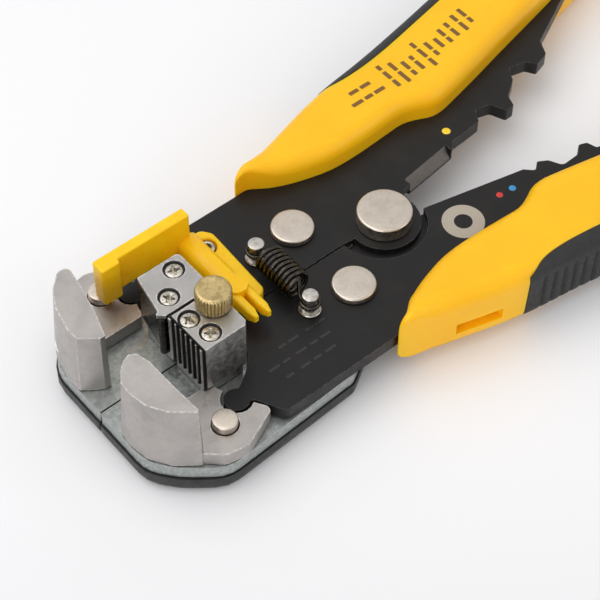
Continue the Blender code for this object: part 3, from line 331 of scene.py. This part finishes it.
def mesh_object(name, points, faces, angle=35.0):
    build = bmesh.new()
    verts = [build.verts.new(at(*point)) for point in points]
    for face in faces:
        build.faces.new([verts[i] for i in face])
    bmesh.ops.remove_doubles(build, verts=build.verts, dist=1e-7)
    bmesh.ops.recalc_face_normals(build, faces=build.faces)
    mesh = bpy.data.meshes.new(name)
    build.to_mesh(mesh)
    build.free()
    obj = bpy.data.objects.new(name, mesh)
    scene.collection.objects.link(obj)
    return shaded(obj, angle)


def loft(name, rings, angle=35.0):
    """A closed solid through rings of equally many points."""
    count = len(rings[0])
    points = [point for ring in rings for point in ring]
    faces = []
    for level in range(len(rings) - 1):
        base = level * count
        for i in range(count):
            j = (i + 1) % count
            faces.append((base + i, base + j, base + count + j, base + count + i))
    faces.append(tuple(reversed(range(count))))
    faces.append(tuple(range(len(points) - count, len(points))))
    return mesh_object(name, points, faces, angle)


def turned(name, profile, center, steps=64, angle=35.0):
    """A turned solid. Its profile (radius, z) runs from end to end and stays off the axis."""
    return loft(name, [ring_of(center, radius, steps, z) for radius, z in profile], angle)


def ring_solid(name, profile, center, steps=64, angle=35.0):
    """A turned ring from a closed profile that stays off the axis."""
    points = [point for radius, z in profile for point in ring_of(center, radius, steps, z)]
    faces = []
    for level in range(len(profile)):
        a, b = level * steps, (level + 1) % len(profile) * steps
        for i in range(steps):
            j = (i + 1) % steps
            faces.append((a + i, a + j, b + j, b + i))
    return mesh_object(name, points, faces, angle)


def rounded_profile(radius, top, bottom, edge, crown=0.0, steps=5):
    """The profile of a round head: a slightly crowned face and a rounded rim."""
    flat = radius - edge
    profile = [(flat * share, top - crown * share**2) for share in (0.02, 0.35, 0.7, 1.0)]
    for i in range(1, steps + 1):
        a = math.radians(90.0 * i / steps)
        profile.append((flat + edge * math.sin(a), top - crown - edge * (1.0 - math.cos(a))))
    profile.append((radius, bottom))
    return profile


def apply_modifiers(obj):
    graph = bpy.context.evaluated_depsgraph_get()
    mesh = bpy.data.meshes.new_from_object(obj.evaluated_get(graph))
    obj.modifiers.clear()
    obj.data = mesh
    return obj


def cut(obj, *tools, solver="EXACT", operation="DIFFERENCE"):
    for tool in tools:
        modifier = obj.modifiers.new("cut", "BOOLEAN")
        modifier.operation = operation
        modifier.solver = solver
        modifier.object = tool
        apply_modifiers(obj)
        bpy.data.objects.remove(tool, do_unlink=True)
    return obj


def add(obj, body, look, slot, *replaced):
    """Dresses the piece, parents it to the body it rides on and hides the parts it stands in for.
    """
    obj.data.materials.clear()
    obj.data.materials.append(look)
    if body:
        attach(obj, body)
    if replaced:
        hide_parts(*replaced)
    return obj


# --- CAD nodes that stay, with softened edges -------------------------------------


def dress_node(name, look, width=0.25, segments=2, angle=35.0):
    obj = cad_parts[name]
    obj.data.materials.clear()
    obj.data.materials.append(look)
    if "custom_normal" in obj.data.attributes:
        obj.data.attributes.remove(obj.data.attributes["custom_normal"])
    obj.data.shade_smooth()
    weld = obj.modifiers.new("weld", "WELD")
    weld.merge_threshold = WELD_DISTANCE * MM
    if width:
        flat = obj.modifiers.new("flat", "DECIMATE")
        flat.decimate_type = "DISSOLVE"
        flat.angle_limit = math.radians(FLAT_ANGLE)
        edges = obj.modifiers.new("edges", "BEVEL")
        edges.width = width * MM
        edges.segments = segments
        edges.limit_method = "ANGLE"
        edges.angle_limit = math.radians(angle)
        edges.miter_outer = "MITER_ARC"
        edges.use_clamp_overlap = True
    normals = obj.modifiers.new("normals", "WEIGHTED_NORMAL")
    normals.keep_sharp = True
    normals.weight = 90


for node in ("right_handle_plate", "left_handle_plate"):
    dress_node(node, LOOK["plate"], 0.3)
for node in ("right_head_base", "left_head_base"):
    dress_node(node, LOOK["base"], 0.3)
for node in ("right_head_cover", "left_head_cover"):
    dress_node(node, LOOK["cover"], 0.2, 2, 50.0)
dress_node("blade_block", LOOK["block"], 0.22)
dress_node("grip_block", LOOK["toothed"], 0.12)
# A dark steel blade; its dark face also stands in for painted shade on the blade block's front
# face.
dress_node("stripping_blade", LOOK["dark"], 0.12, 1)
for node in ("right_front_jaw", "left_front_jaw"):
    dress_node(node, LOOK["cast"], 0.35)
for node in ("right_jaw_spring", "left_jaw_spring"):
    dress_node(node, LOOK["dark"], 0.0)
dress_node("stop_guide", LOOK["stop"], 0.25)
dress_node("guide_rivet", LOOK["pin"], 0.0)
dress_node("wire_stop", LOOK["stop"], 0.15, 2, 50.0)
for side in ("right", "left"):
    for number in (1, 2, 3):
        dress_node(f"{side}_cover_screw_{number}", LOOK["pin"], 0.15)


# --- Rivets, pins and screws ------------------------------------------------------


def rivet(name, node, body, center, radius, top, bottom, shank, foot_z, foot_radius):
    """A round head from bottom to top, a shank, and a foot between its two heights."""
    foot_low, foot_high = foot_z
    foot = rounded_profile(foot_radius, foot_low, foot_low, 0.5)[:-1]
    profile = rounded_profile(radius, top, bottom, 0.55, 0.06)
    profile += [(shank, bottom), (shank, foot_high), (foot_radius, foot_high)]
    profile += [(r, 2 * foot_low - z) for r, z in reversed(foot)]
    add(turned(name, profile, center, 72, 50.0), body, LOOK["steel"], "bright_steel", node)


rivet(
    "main_rivet",
    "main_pivot_rivet",
    "right_handle",
    (0, 0),
    radius=6.9,
    top=17.0,
    bottom=13.2,
    shank=3.6,
    foot_z=(7.4, 9.5),
    foot_radius=6.0,
)
for side_name, side in (("right", 1), ("left", -1)):
    rivet(
        f"{side_name}_pivot_rivet",
        f"{side_name}_head_rivet",
        f"{side_name}_handle",
        (HEAD_PIVOT[0], side * HEAD_PIVOT[1]),
        radius=5.4,
        top=15.4,
        bottom=13.8,
        shank=3.0,
        foot_z=(3.7, 5.5),
        foot_radius=4.6,
    )
    # A round head, a groove for the spring's hook, a collar and a shank.
    spring_post = rounded_profile(2.0, 19.5, 17.9, 0.3, 0.1)
    spring_post += [(1.75, 17.7), (1.4, 17.4), (1.4, 16.2), (1.75, 15.9), (2.0, 15.7), (2.0, 14.7)]
    spring_post += [(2.0, 14.3), (2.55, 14.3), (2.7, 14.15), (2.7, 13.8), (1.4, 13.8), (1.4, 9.9)]
    add(
        turned(f"{side_name}_spring_post", spring_post, (SPRING_PIN[0], side * SPRING_PIN[1]), 40),
        f"{side_name}_handle",
        LOOK["pin"],
        "bright_steel",
        f"{side_name}_spring_pin",
    )
for side_name, pivot in (("right", RIGHT_JAW_PIVOT), ("left", LEFT_JAW_PIVOT)):
    profile = rounded_profile(3.0, 15.8, 6.0, 0.35, 0.05)
    profile += [(2.1, 5.9), (2.1, 2.2)]
    add(
        turned(f"{side_name}_hinge_pin", profile, pivot, 48, 50.0),
        f"{side_name}_head",
        LOOK["steel"],
        "bright_steel",
        f"{side_name}_jaw_pin",
    )


# Half of an arm's outline on each side, as (along, across) in shares of the cross's size.
CROSS_ARM = ((0.42, -0.3), (0.7, -0.22), (1.0, -0.19), (1.0, 0.19), (0.7, 0.22), (0.42, 0.3))
SCREW_RADIUS = 2.12
SCREW_TOP = 28.45
SCREW_SEAT = 26.8
SCREW_FOOT = 6.2
SCREW_SHANK = 1.3
# A dark ring under each screw head: painted shade for the shadow in the gap round the head in its
# counterbore.
COUNTERBORE_SHADE = [(2.08, 27.75), (2.6, 27.75), (2.6, 27.0), (2.08, 27.0)]  # (radius, z) corners
SCREW_TURNS = (18.0, 52.0, 70.0, 33.0)


def cross_cutter(center, top, size, depth, turn):
    """A tapered cross whose arms widen towards the middle."""
    rings = []
    for z, scale in ((top + 0.4, 1.15), (top, 1.0), (top - depth, 0.5)):
        ring = []
        for quarter in range(4):
            a = math.radians(turn + 90.0 * quarter)
            for along, across in CROSS_ARM:
                x = along * math.cos(a) - across * math.sin(a)
                y = along * math.sin(a) + across * math.cos(a)
                ring.append((center[0] + x * size * scale, center[1] + y * size * scale, z))
        rings.append(ring)
    return loft("cross_cutter", rings)


turns = iter(SCREW_TURNS)
for node, centers in BLOCK_SCREWS.items():
    body = "right_head" if node.startswith("grip") else "left_head"
    for number, center in enumerate(centers, 1):
        profile = rounded_profile(SCREW_RADIUS, SCREW_TOP, SCREW_SEAT, 0.3, 0.14)
        profile += [(SCREW_SHANK, SCREW_SEAT), (SCREW_SHANK, SCREW_FOOT)]
        screw = turned(f"{node}_head_{number}", profile, center, 40, 40.0)
        cut(screw, cross_cutter(center, 28.38, 1.5, 1.1, next(turns)))
        add(shaded(screw), body, LOOK["screw"], "bright_steel", f"{node}_{number}")
        # A dark ring of painted shade in the counterbore round the head.
        shade_ring = ring_solid(f"{node}_seal_{number}", COUNTERBORE_SHADE, center, 40)
        add(shade_ring, body, LOOK["rubber"], "black_rubber")


# --- Thumbscrew -------------------------------------------------------------------


def knurled_ring(radius, depth, z, ribs=32, per_rib=8):
    """A ring round the knob's axis, with grooves of the depth between its ribs."""
    ring = []
    for i in range(ribs * per_rib):
        a = math.tau * i / (ribs * per_rib)
        wave = abs(math.sin(math.pi * (i % per_rib) / per_rib)) ** 0.8
        r = radius - depth * (1.0 - wave)
        ring.append((KNOB[0] + r * math.cos(a), KNOB[1] + r * math.sin(a), z))
    return ring


# (radius, depth of the knurl, z), from the shank up to the crowned top.
KNOB_LEVELS = [
    (1.5, 0.0, 20.0),
    (1.5, 0.0, 29.0),
    (3.7, 0.0, 29.0),
    (4.05, 0.1, 29.12),
    (4.3, 0.34, 29.5),
    (4.3, 0.36, 31.5),
    (4.3, 0.34, 33.75),
    (4.14, 0.14, 34.05),
    (3.95, 0.02, 34.25),
    (3.72, 0.0, 34.38),
    (3.4, 0.0, 34.43),
    (2.9, 0.0, 34.36),
    (1.5, 0.0, 34.33),
    (0.05, 0.0, 34.33),
]
thumbscrew = loft("knurled_thumbscrew", [knurled_ring(*level) for level in KNOB_LEVELS], 40.0)
add(thumbscrew, "thumbscrew", LOOK["brass"], "brass", "adjusting_thumbscrew")


# --- Return spring ----------------------------------------------------------------

COIL_R = 3.2
WIRE_R = 0.52
COIL_Z = 18.3
COIL_HALF = 5.8
COIL_TURNS = 8.5
COIL_STEPS = 36
HOOK_Z = 16.8
HOOK_R = 1.7 + WIRE_R
HOOK_SWEEP = 300.0  # degrees
HOOK_STEPS = 24


def spring_path():
    """A hook round each pin's groove and a close coil between them, with a lead to each end."""
    x = SPRING_PIN[0]
    first = []
    for i in range(HOOK_STEPS + 1):
        a = math.radians(120.0 - HOOK_SWEEP * (1 - i / HOOK_STEPS))
        first.append((x + HOOK_R * math.cos(a), -SPRING_PIN[1] + HOOK_R * math.sin(a), HOOK_Z))
    steps = int(COIL_TURNS * COIL_STEPS)
    coil = []
    for i in range(steps + 1):
        a = math.tau * COIL_TURNS * i / steps - math.pi / 2
        y = -COIL_HALF + 2 * COIL_HALF * i / steps
        coil.append((x + COIL_R * math.cos(a), y, COIL_Z + COIL_R * math.sin(a)))
    last = []
    for i in range(HOOK_STEPS + 1):
        a = math.radians(-60.0 + HOOK_SWEEP * i / HOOK_STEPS)
        last.append((x + HOOK_R * math.cos(a), SPRING_PIN[1] + HOOK_R * math.sin(a), HOOK_Z))
    first_lead, last_lead = (x - 0.6, -7.0, 16.2), (x + 0.9, 7.2, 17.6)
    return [*first, first_lead, *coil, last_lead, *last]


def tube(name, path, radius, sides=14):
    """A round wire whose section is carried along the path without twisting."""
    points = [Vector(p) for p in path]
    tangent = (points[1] - points[0]).normalized()
    normal = tangent.orthogonal().normalized()
    rings = []
    for i, point in enumerate(points):
        ahead = points[min(i + 1, len(points) - 1)] - points[max(i - 1, 0)]
        new = ahead.normalized()
        normal = (normal - new * normal.dot(new)).normalized()
        other = new.cross(normal)
        ring = []
        for k in range(sides):
            a = math.tau * k / sides
            ring.append(tuple(point + (normal * math.cos(a) + other * math.sin(a)) * radius))
        rings.append(ring)
    return loft(name, rings, 60.0)


spring = tube("coil_return_spring", spring_path(), WIRE_R)
add(spring, None, LOOK["dark"], "dark_steel", "return_spring")
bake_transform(spring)


# --- Grips and their rubber pads --------------------------------------------------

TIP_X = 23.0
RIGHT_TIP_X = 21.4
TIP_START = 14.0  # the right tip is shortened in front of this
TIP_ROUND = 4.6
TIP_RISE = 2.4  # of the underside towards the tip
TAIL_X = -121.7
TAIL_START = -113.0
TAIL_ROUND = 5.5
GRIP_BOTTOM = 2.4  # falls to the floor along the swell
SWELL_START = -30.0
SWELL_LENGTH = 45.0
SWELL_RISE = 0.8
GRIP_EDGE_R = 4.2
WINDOW = [(7.1, 45.0), (7.1, 31.8), (-4.9, 35.0), (-4.9, 45.0)]
WINDOW_Z = (7.6, 11.2)

PAD_FRONT = -11.4
PAD_REAR = -110.0
# (x, how far the pad reaches in from the grip's outer edge)
PAD_DEPTHS = [
    (PAD_FRONT, 0.35),
    (-12.2, 0.55),
    (-13.6, 1.1),
    (-15.7, 2.1),
    (-18.8, 2.9),
    (-22.7, 3.35),
    (-27.0, 3.6),
    (-33.0, 3.8),
    (-44.0, 3.8),
    (-97.0, 3.8),
    (-102.0, 3.2),
    (-106.0, 2.1),
    (PAD_REAR, 0.4),
]
PAD_LEAN = 0.03  # of the pad's front end, per millimetre of height
PAD_LEAN_Z = 14.0
PAD_PROUD = 0.12
PAD_SEAM = 0.16  # the gap between the pad and the shell
PAD_STEPS = 96
OUTSIDE_Y = 75.0
BELOW_AND_ABOVE = (-5.0, 30.0)
RIB_PITCH = 3.0
RIB_DEPTH = 0.85
RIB_STEPS = 10
GROOVE_HALF = 0.24  # half of a groove's width, as a share of the pitch
GROOVE_TOP = 0.80  # as a share of the grip's height
PLAIN_END = 2.2  # the length without grooves at each end

INNER_EDGE = [
    (TIP_X, 29.25),
    (22.0, 29.0),
    (19.6, 28.4),
    (15.1, 25.4),
    (10.7, 23.4),
    (5.4, 21.7),
    (-0.5, 20.4),
    (-8.0, 20.1),
    (-18.7, 20.6),
    (-24.5, 20.8),
    (-28.2, 19.7),
    (-31.7, 18.1),
    (-35.0, 17.8),
    (-39.0, 18.5),
    (-50.2, 21.0),
    (-61.9, 23.8),
    (-86.3, 29.5),
    (-105.0, 34.0),
    (-116.0, 38.6),
    (TAIL_X, 45.0),
]
OUTER_EDGE = [
    (TIP_X, 29.55),
    (22.4, 29.95),
    (21.4, 30.35),
    (19.6, 30.95),
    (10.7, 33.1),
    (-4.4, 37.3),
    (-14.2, 39.4),
    (-27.4, 41.3),
    (-44.2, 44.3),
    (-58.0, 46.9),
    (-86.0, 52.0),
    (-105.0, 55.2),
    (-116.0, 55.4),
    (TAIL_X, 50.0),
]


def edge_at(edge, x):
    """The edge's y at x, on a smooth curve through its points."""
    for i in range(len(edge) - 1):
        if edge[i][0] >= x >= edge[i + 1][0]:
            break
    p1, p2 = edge[i], edge[i + 1]
    p0 = edge[i - 1] if i > 0 else p1
    p3 = edge[i + 2] if i + 2 < len(edge) else p2
    t = (x - p1[0]) / (p2[0] - p1[0])
    slope1 = (p2[1] - p0[1]) / (p2[0] - p0[0]) * (p2[0] - p1[0])
    slope2 = (p3[1] - p1[1]) / (p3[0] - p1[0]) * (p2[0] - p1[0])
    h = (2 * t**3 - 3 * t**2 + 1, t**3 - 2 * t**2 + t, -2 * t**3 + 3 * t**2, t**3 - t**2)
    return h[0] * p1[1] + h[1] * slope1 + h[2] * p2[1] + h[3] * slope2


def unit(value):
    """The value kept between 0 and 1."""
    return min(1.0, max(0.0, value))


def grip_limits(x):
    """(inner y, outer y, lowest z, highest z) of the grip at x."""
    swell = unit((SWELL_START - x) / SWELL_LENGTH)
    swell = swell * swell * (3 - 2 * swell)
    tail = TAIL_ROUND * max(0.0, (TAIL_START - x) / (TAIL_START - TAIL_X)) ** 3
    into_tip = unit(1.0 - (TIP_X - x) / TIP_ROUND)
    tip = TIP_ROUND * (1.0 - math.sqrt(1.0 - into_tip**2))
    rise = TIP_RISE * unit((x - 10.0) / 10.0) ** 1.3
    low = GRIP_BOTTOM - GRIP_BOTTOM * swell + rise + 0.6 * tip + tail
    high = GRIP_TOP + SWELL_RISE * swell - tip - tail
    return edge_at(INNER_EDGE, x), edge_at(OUTER_EDGE, x), low, high


def tip_x(x, side):
    """The right grip's tip is shorter than the left one's."""
    if side < 0 or x < TIP_START:
        return x
    return TIP_START + (x - TIP_START) * (RIGHT_TIP_X - TIP_START) / (TIP_X - TIP_START)


def spaced(first, last, count):
    """Points strictly between two."""
    return [tuple(a + (b - a) * i / count for a, b in zip(first, last)) for i in range(1, count)]


def grip_section(x, grow=0.0, groove=0.0):
    """The grip's outline across x, with a groove in its outer wall."""
    y_in, y_out, low, high = grip_limits(x)
    radius = min(GRIP_EDGE_R, (y_out - y_in) * 0.49, (high - low) * 0.49)
    r = radius + grow
    arcs = [
        arc((y_out - radius, low + radius), r, -90, 0, 7.5),
        arc((y_out - radius, high - radius), r, 0, 90, 7.5),
        arc((y_in + radius, high - radius), r, 90, 180, 7.5),
        arc((y_in + radius, low + radius), r, 180, 270, 7.5),
    ]
    section = []
    for number, points in enumerate(arcs):
        section += points + spaced(points[-1], arcs[(number + 1) % 4][0], 8)
    if groove:
        grooved = []
        for y, z in section:
            height = (z - low) / (high - low)
            outer = unit((y - y_out + radius) / radius)
            depth = groove * outer * unit((GROOVE_TOP - height) / 0.07)
            grooved.append((y - depth, z))
        section = grooved
    return section


def grip_loft(name, side, stations, grow=0.0, ribs=False):
    """The grip's solid through its sections, kept above the floor."""
    rings = []
    for x in stations:
        groove = 0.0
        if ribs:
            from_end = min(PAD_FRONT - x, x - PAD_REAR)
            phase = ((PAD_FRONT - x) % RIB_PITCH) / RIB_PITCH
            groove = max(0.0, 1.0 - abs(phase - 0.5) / GROOVE_HALF)
            groove *= groove * (3 - 2 * groove) * RIB_DEPTH * unit(from_end - PLAIN_END)
        section = grip_section(x, grow, groove)
        rings.append([(tip_x(x, side), side * y, max(z, 0.0)) for y, z in section])
    return loft(name, rings, 60.0)


def shell_stations():
    """Close together at the rounded ends and about 1.6 mm apart between them."""
    stations = [TIP_X, 22.95, 22.8, 22.6, 22.3, 21.9, 21.4, 20.8, 20.1, 19.4]
    x = 18.6
    while x > -116.0:
        stations.append(x)
        x -= 1.6
    return stations + [-117.0, -118.0, -119.0, -119.9, -120.6, -121.1, -121.4, -121.6, TAIL_X]


def pad_stations():
    """Evenly spaced, from 4 mm in front of the pad to 4 mm behind it."""
    margin = 4.0
    count = int((PAD_FRONT - PAD_REAR + 2 * margin) / (RIB_PITCH / RIB_STEPS))
    return [PAD_FRONT + margin - i * RIB_PITCH / RIB_STEPS for i in range(count + 1)]


def pad_zone(side, grow):
    """The outer strip of the grip that the pad fills. Its front half leans back upwards."""
    rim = []
    for i in range(PAD_STEPS + 1):
        x = PAD_FRONT + (PAD_REAR - PAD_FRONT) * i / PAD_STEPS
        rim.append((x, edge_at(OUTER_EDGE, x) - edge_at(PAD_DEPTHS, x)))
    first, last = rim[0], rim[-1]
    zone = [(first[0] + grow, OUTSIDE_Y), (first[0] + grow, first[1] - grow)]
    zone += [(x, y - grow) for x, y in rim[1:-1]]
    zone += [(last[0] - grow, last[1] - grow), (last[0] - grow, OUTSIDE_Y)]
    rings = []
    for z in BELOW_AND_ABOVE:
        lean = PAD_LEAN * (PAD_LEAN_Z - z)
        rings.append([(x + (lean if x > -60.0 else 0.0), side * y, z) for x, y in zone])
    return loft("pad_zone", rings)


def window_cutter(side):
    return loft("window", [[(x, side * y, z) for x, y in WINDOW] for z in WINDOW_Z])


for side_name, side in (("right", 1), ("left", -1)):
    shell = grip_loft(f"{side_name}_grip_shell", side, shell_stations())
    cut(shell, pad_zone(side, PAD_SEAM), window_cutter(side), solver="MANIFOLD")
    shaded(shell, 40.0)
    add(shell, f"{side_name}_handle", LOOK["yellow"], "yellow_plastic", f"{side_name}_grip")
    pad = grip_loft(f"{side_name}_ribbed_pad", side, pad_stations(), PAD_PROUD, ribs=True)
    cut(pad, pad_zone(side, 0.0), solver="MANIFOLD", operation="INTERSECT")
    shaded(pad, 50.0)
    add(pad, f"{side_name}_handle", LOOK["rubber"], "black_rubber", f"{side_name}_grip_pad")


# --- Painted dots and generic marks -----------------------------------------------


YELLOW_PAINT = ink("yellow_paint", (0.9, 0.62, 0.03))
RED_PAINT = ink("red_paint", (0.60, 0.03, 0.025))
BLUE_PAINT = ink("blue_paint", (0.03, 0.27, 0.58))
PALE_PRINT = ink("pale_print", (0.40, 0.355, 0.29), 0.4)
BROWN_PRINT = ink("brown_print", (0.19, 0.075, 0.012), 0.5)
STAMPING = ink("stamping", (0.016, 0.0155, 0.0155), 0.3)


def dot(name, center, radius, body, look):
    """A dot of paint, thinner at its rim."""
    levels = ((0.02, 0.06), (radius - 0.15, 0.05), (radius, -0.02))
    profile = [(r, PLATE_TOP + above) for r, above in levels]
    add(turned(name, profile, center, 40), body, look, "yellow_plastic")


def dashes(name, runs, z_of, body, look, slot, thickness=0.04):
    """Flat printed dashes as one piece. A run is (x, y, length along x, length along y)."""
    points, faces = [], []
    for x, y, dx, dy in runs:
        low, high = z_of(x) - 0.05, z_of(x) + thickness
        start = len(points)
        plan = [(x, y), (x + dx, y), (x + dx, y + dy), (x, y + dy)]
        points += [(px, py, low) for px, py in plan] + [(px, py, high) for px, py in plan]
        faces += [tuple(start + k for k in face) for face in ((0, 1, 2, 3), (4, 5, 6, 7))]
        for k in range(4):
            following = (k + 1) % 4
            faces.append((start + k, start + following, start + 4 + following, start + 4 + k))
    add(mesh_object(name, points, faces), body, look, slot)


dot("yellow_dot", (-31.6, -11.9), 1.15, "left_handle", YELLOW_PAINT)
dot("red_dot", (-27.2, 12.3), 0.9, "right_handle", RED_PAINT)
dot("blue_dot", (-31.2, 12.7), 0.95, "right_handle", BLUE_PAINT)

PLAIN_RING = [
    (2.3, PLATE_TOP + 0.03),
    (5.3, PLATE_TOP + 0.03),
    (5.3, PLATE_TOP - 0.03),
    (2.3, PLATE_TOP - 0.03),
]
ring_print = ring_solid("ring_print", PLAIN_RING, (-14.4, 12.9), 64)
add(ring_print, "right_handle", PALE_PRINT, "bright_steel")

# Dashes in place of the printed words: two rows along the grip as (y, row of (x, length)), then
# rows across it as (x, row of (distance, length)).
DASH_WIDTH = 1.15
LONG_ROWS = (
    (-32.4, ((-16.0, 2.9), (-19.7, 3.1))),
    (-28.8, ((-14.0, 3.4), (-18.2, 2.4), (-21.4, 3.2))),
)
PRINT_ROWS = (
    (-27.4, ((0.0, 2.6), (3.4, 2.9), (7.2, 1.8))),
    (-30.5, ((0.0, 4.4), (5.1, 3.3))),
    (-33.4, ((0.9, 1.9), (3.5, 3.2))),
    (-36.3, ((0.9, 3.4), (5.0, 1.6))),
    (-39.6, ((-0.9, 3.0), (2.9, 3.5), (7.1, 2.2))),
    (-42.5, ((0.9, 1.9), (3.5, 3.0))),
    (-45.4, ((1.6, 3.8),)),
    (-48.3, ((0.9, 2.1), (3.7, 2.9))),
    (-51.2, ((0.9, 3.1), (4.7, 2.0))),
    (-54.4, ((0.2, 3.4), (4.3, 2.7))),
    (-57.3, ((0.9, 2.0), (3.6, 3.3))),
)
printed = []
for row_y, words in LONG_ROWS:
    printed += [(start, row_y, -length, DASH_WIDTH) for start, length in words]
for row_x, words in PRINT_ROWS:
    middle = (edge_at(INNER_EDGE, row_x) + edge_at(OUTER_EDGE, row_x)) / 2
    printed += [(row_x, -(middle - 4.6 + start), -DASH_WIDTH, -length) for start, length in words]
dashes(
    "left_grip_print",
    printed,
    lambda x: grip_limits(x)[3],
    "left_handle",
    BROWN_PRINT,
    "yellow_plastic",
)

# Dark dashes in place of the stamped words, as (y, the dashes' x).
STAMPED_ROWS = (
    (13.6, (31.0, 34.4, 38.9, 42.6)),
    (17.4, (32.4, 36.2, 39.6, 44.4, 47.6)),
    (21.2, (34.0, 38.3, 41.5, 46.4)),
)
stamped = []
for row_y, starts in STAMPED_ROWS:
    stamped += [(x, row_y, 2.2 if i % 2 else 3.0, 0.75) for i, x in enumerate(starts)]
dashes(
    "right_plate_stamping",
    stamped,
    lambda x: PLATE_TOP,
    "right_handle",
    STAMPING,
    "black_steel_plate",
    0.05,
)


# --- Ground cutting edge ----------------------------------------------------------

BEVEL_WIDTH = 2.046
BEVEL_Z = (10.3, 13.6)
GROUND_Z = (10.35, 13.5)
GROUND_EDGE = ((-12.9, -4.44), (-28.0, -6.37))
GROUND_ACROSS = (0.127, -0.992)
GROUND_LIFT = (0.03, 0.02)  # away from the bevel and upwards


def ground_steel():
    shader = Shader("ground_steel", (0.25, 0.255, 0.26), 1.0, 0.5)
    shader.tint(shader.ranged(shader.noise(0.5, 4.0), 0.4, 0.7, 0.0, 0.5), (0.17, 0.17, 0.172))
    shader.rough(shader.ranged(shader.noise(0.6, 4.0), 0.3, 0.7, 0.42, 0.6))
    shader.bump(shader.noise(0.35, 3.0, (1.0, 6.0, 1.0)), 0.012)
    return shader.material


def ground_face(name, body):
    """A thin skin on the plate's bevelled edge."""
    corners = []
    for x, y in GROUND_EDGE:
        for z in GROUND_Z:
            d = BEVEL_WIDTH * (z - BEVEL_Z[0]) / (BEVEL_Z[1] - BEVEL_Z[0])
            corners.append((x + GROUND_ACROSS[0] * d, y + GROUND_ACROSS[1] * d, z))
    a, b, d, c = corners
    out, up = GROUND_LIFT
    lifted = [
        (x - GROUND_ACROSS[0] * out, y - GROUND_ACROSS[1] * out, z + up) for x, y, z in (a, b, c, d)
    ]
    points = [a, b, c, d, *lifted]
    faces = [(0, 1, 2, 3), (4, 5, 6, 7), (0, 1, 5, 4), (1, 2, 6, 5), (2, 3, 7, 6), (3, 0, 4, 7)]
    add(mesh_object(name, points, faces), body, ground_steel(), "bright_steel")


ground_face("left_ground_edge", "left_handle")


# --- Floor, light and camera ------------------------------------------------------

FLOOR_HALF = 3.0  # metres, as in the rest of this section
LIT_POINT = Vector((0.03, 0.0, 0.01))


def floor():
    """White paper with painted shade: a little greyer towards the camera's side of the part."""
    shader = Shader("floor_paper", (0.86, 0.86, 0.875), 0.0, 0.55, Specular_IOR_Level=0.3)
    shader.bump(shader.noise(0.8, 3.0), 0.01)
    along = shader.tree.nodes.new("ShaderNodeVectorMath")
    along.operation = "DOT_PRODUCT"
    along.inputs[1].default_value = (0.65, 0.76, 0.0)
    shader.link(shader.millimetres.outputs["Vector"], along.inputs[0])
    # Painted shade, greyer towards the camera's side.
    shader.tint(shader.ranged(along.outputs["Value"], 45.0, 170.0), (0.74, 0.74, 0.755))
    mesh = bpy.data.meshes.new("floor")
    signs = ((-1, -1), (1, -1), (1, 1), (-1, 1))
    corners = [(FLOOR_HALF * x, FLOOR_HALF * y, 0.0) for x, y in signs]
    mesh.from_pydata(corners, [], [(0, 1, 2, 3)])
    obj = bpy.data.objects.new("floor", mesh)
    scene.collection.objects.link(obj)
    obj.data.materials.append(shader.material)


def area_light(name, direction, distance, size, power, color):
    """A rectangular light aimed at the part."""
    light = bpy.data.lights.new(name, "AREA")
    light.shape = "RECTANGLE"
    light.size, light.size_y = size
    light.energy = power
    light.color = color
    obj = bpy.data.objects.new(name, light)
    scene.collection.objects.link(obj)
    towards = Vector(direction).normalized()
    obj.location = LIT_POINT + towards * distance
    obj.rotation_mode = "QUATERNION"
    obj.rotation_quaternion = (-towards).to_track_quat("-Z", "Y")
    return obj


def light_the_scene():
    """A bright room that is darker near the floor, a soft box overhead and two at the sides."""
    world = bpy.data.worlds.new("room")
    scene.world = world
    world.use_nodes = True
    tree = world.node_tree
    background = tree.nodes["Background"]
    background.inputs["Strength"].default_value = 0.80
    coordinates = tree.nodes.new("ShaderNodeTexCoord")
    split = tree.nodes.new("ShaderNodeSeparateXYZ")
    ramp = tree.nodes.new("ShaderNodeValToRGB")
    ramp.color_ramp.elements[0].position = 0.0
    ramp.color_ramp.elements[0].color = (0.62, 0.62, 0.63, 1.0)
    ramp.color_ramp.elements[1].position = 0.6
    ramp.color_ramp.elements[1].color = (1.0, 1.0, 1.0, 1.0)
    tree.links.new(coordinates.outputs["Generated"], split.inputs["Vector"])
    tree.links.new(split.outputs["Z"], ramp.inputs["Fac"])
    tree.links.new(ramp.outputs["Color"], background.inputs["Color"])
    left = Vector((0.77, -0.64, 0.0))
    back = Vector((-0.65, -0.76, 0.0))
    up = Vector((0.0, 0.0, 1.0))
    warm, white = (1.0, 0.995, 0.985), (1.0, 1.0, 1.0)
    area_light("key", left * 0.55 + back * 0.1 + up * 1.2, 1.1, (1.0, 1.0), 4.2, warm)
    area_light("front", left * 0.5 - back * 0.95 + up * 0.5, 1.2, (0.9, 0.5), 3.4, white)
    area_light("side", -left * 0.9 - back * 0.2 + up * 0.5, 1.3, (0.7, 0.5), 1.2, white)


def aim_camera():
    """The photograph's viewpoint, fitted to the part's known points."""
    right = Vector((-0.76779027, 0.64065199, 0.00794601))
    up = Vector((-0.50170991, -0.60889581, 0.61443719))
    back = Vector((0.39847869, 0.4677723, 0.78892573))
    camera = bpy.data.cameras.new("camera")
    camera.sensor_fit = "HORIZONTAL"
    camera.sensor_width = 36.0
    camera.lens = 109.841
    camera.clip_start, camera.clip_end = 0.01, 20.0
    obj = bpy.data.objects.new("camera", camera)
    scene.collection.objects.link(obj)
    turn = Matrix((right, up, back)).transposed().to_4x4()
    obj.matrix_world = Matrix.Translation((0.22132436, 0.20783693, 0.35351016)) @ turn
    scene.camera = obj


floor()
light_the_scene()
aim_camera()
scene.view_settings.view_transform = "Standard"
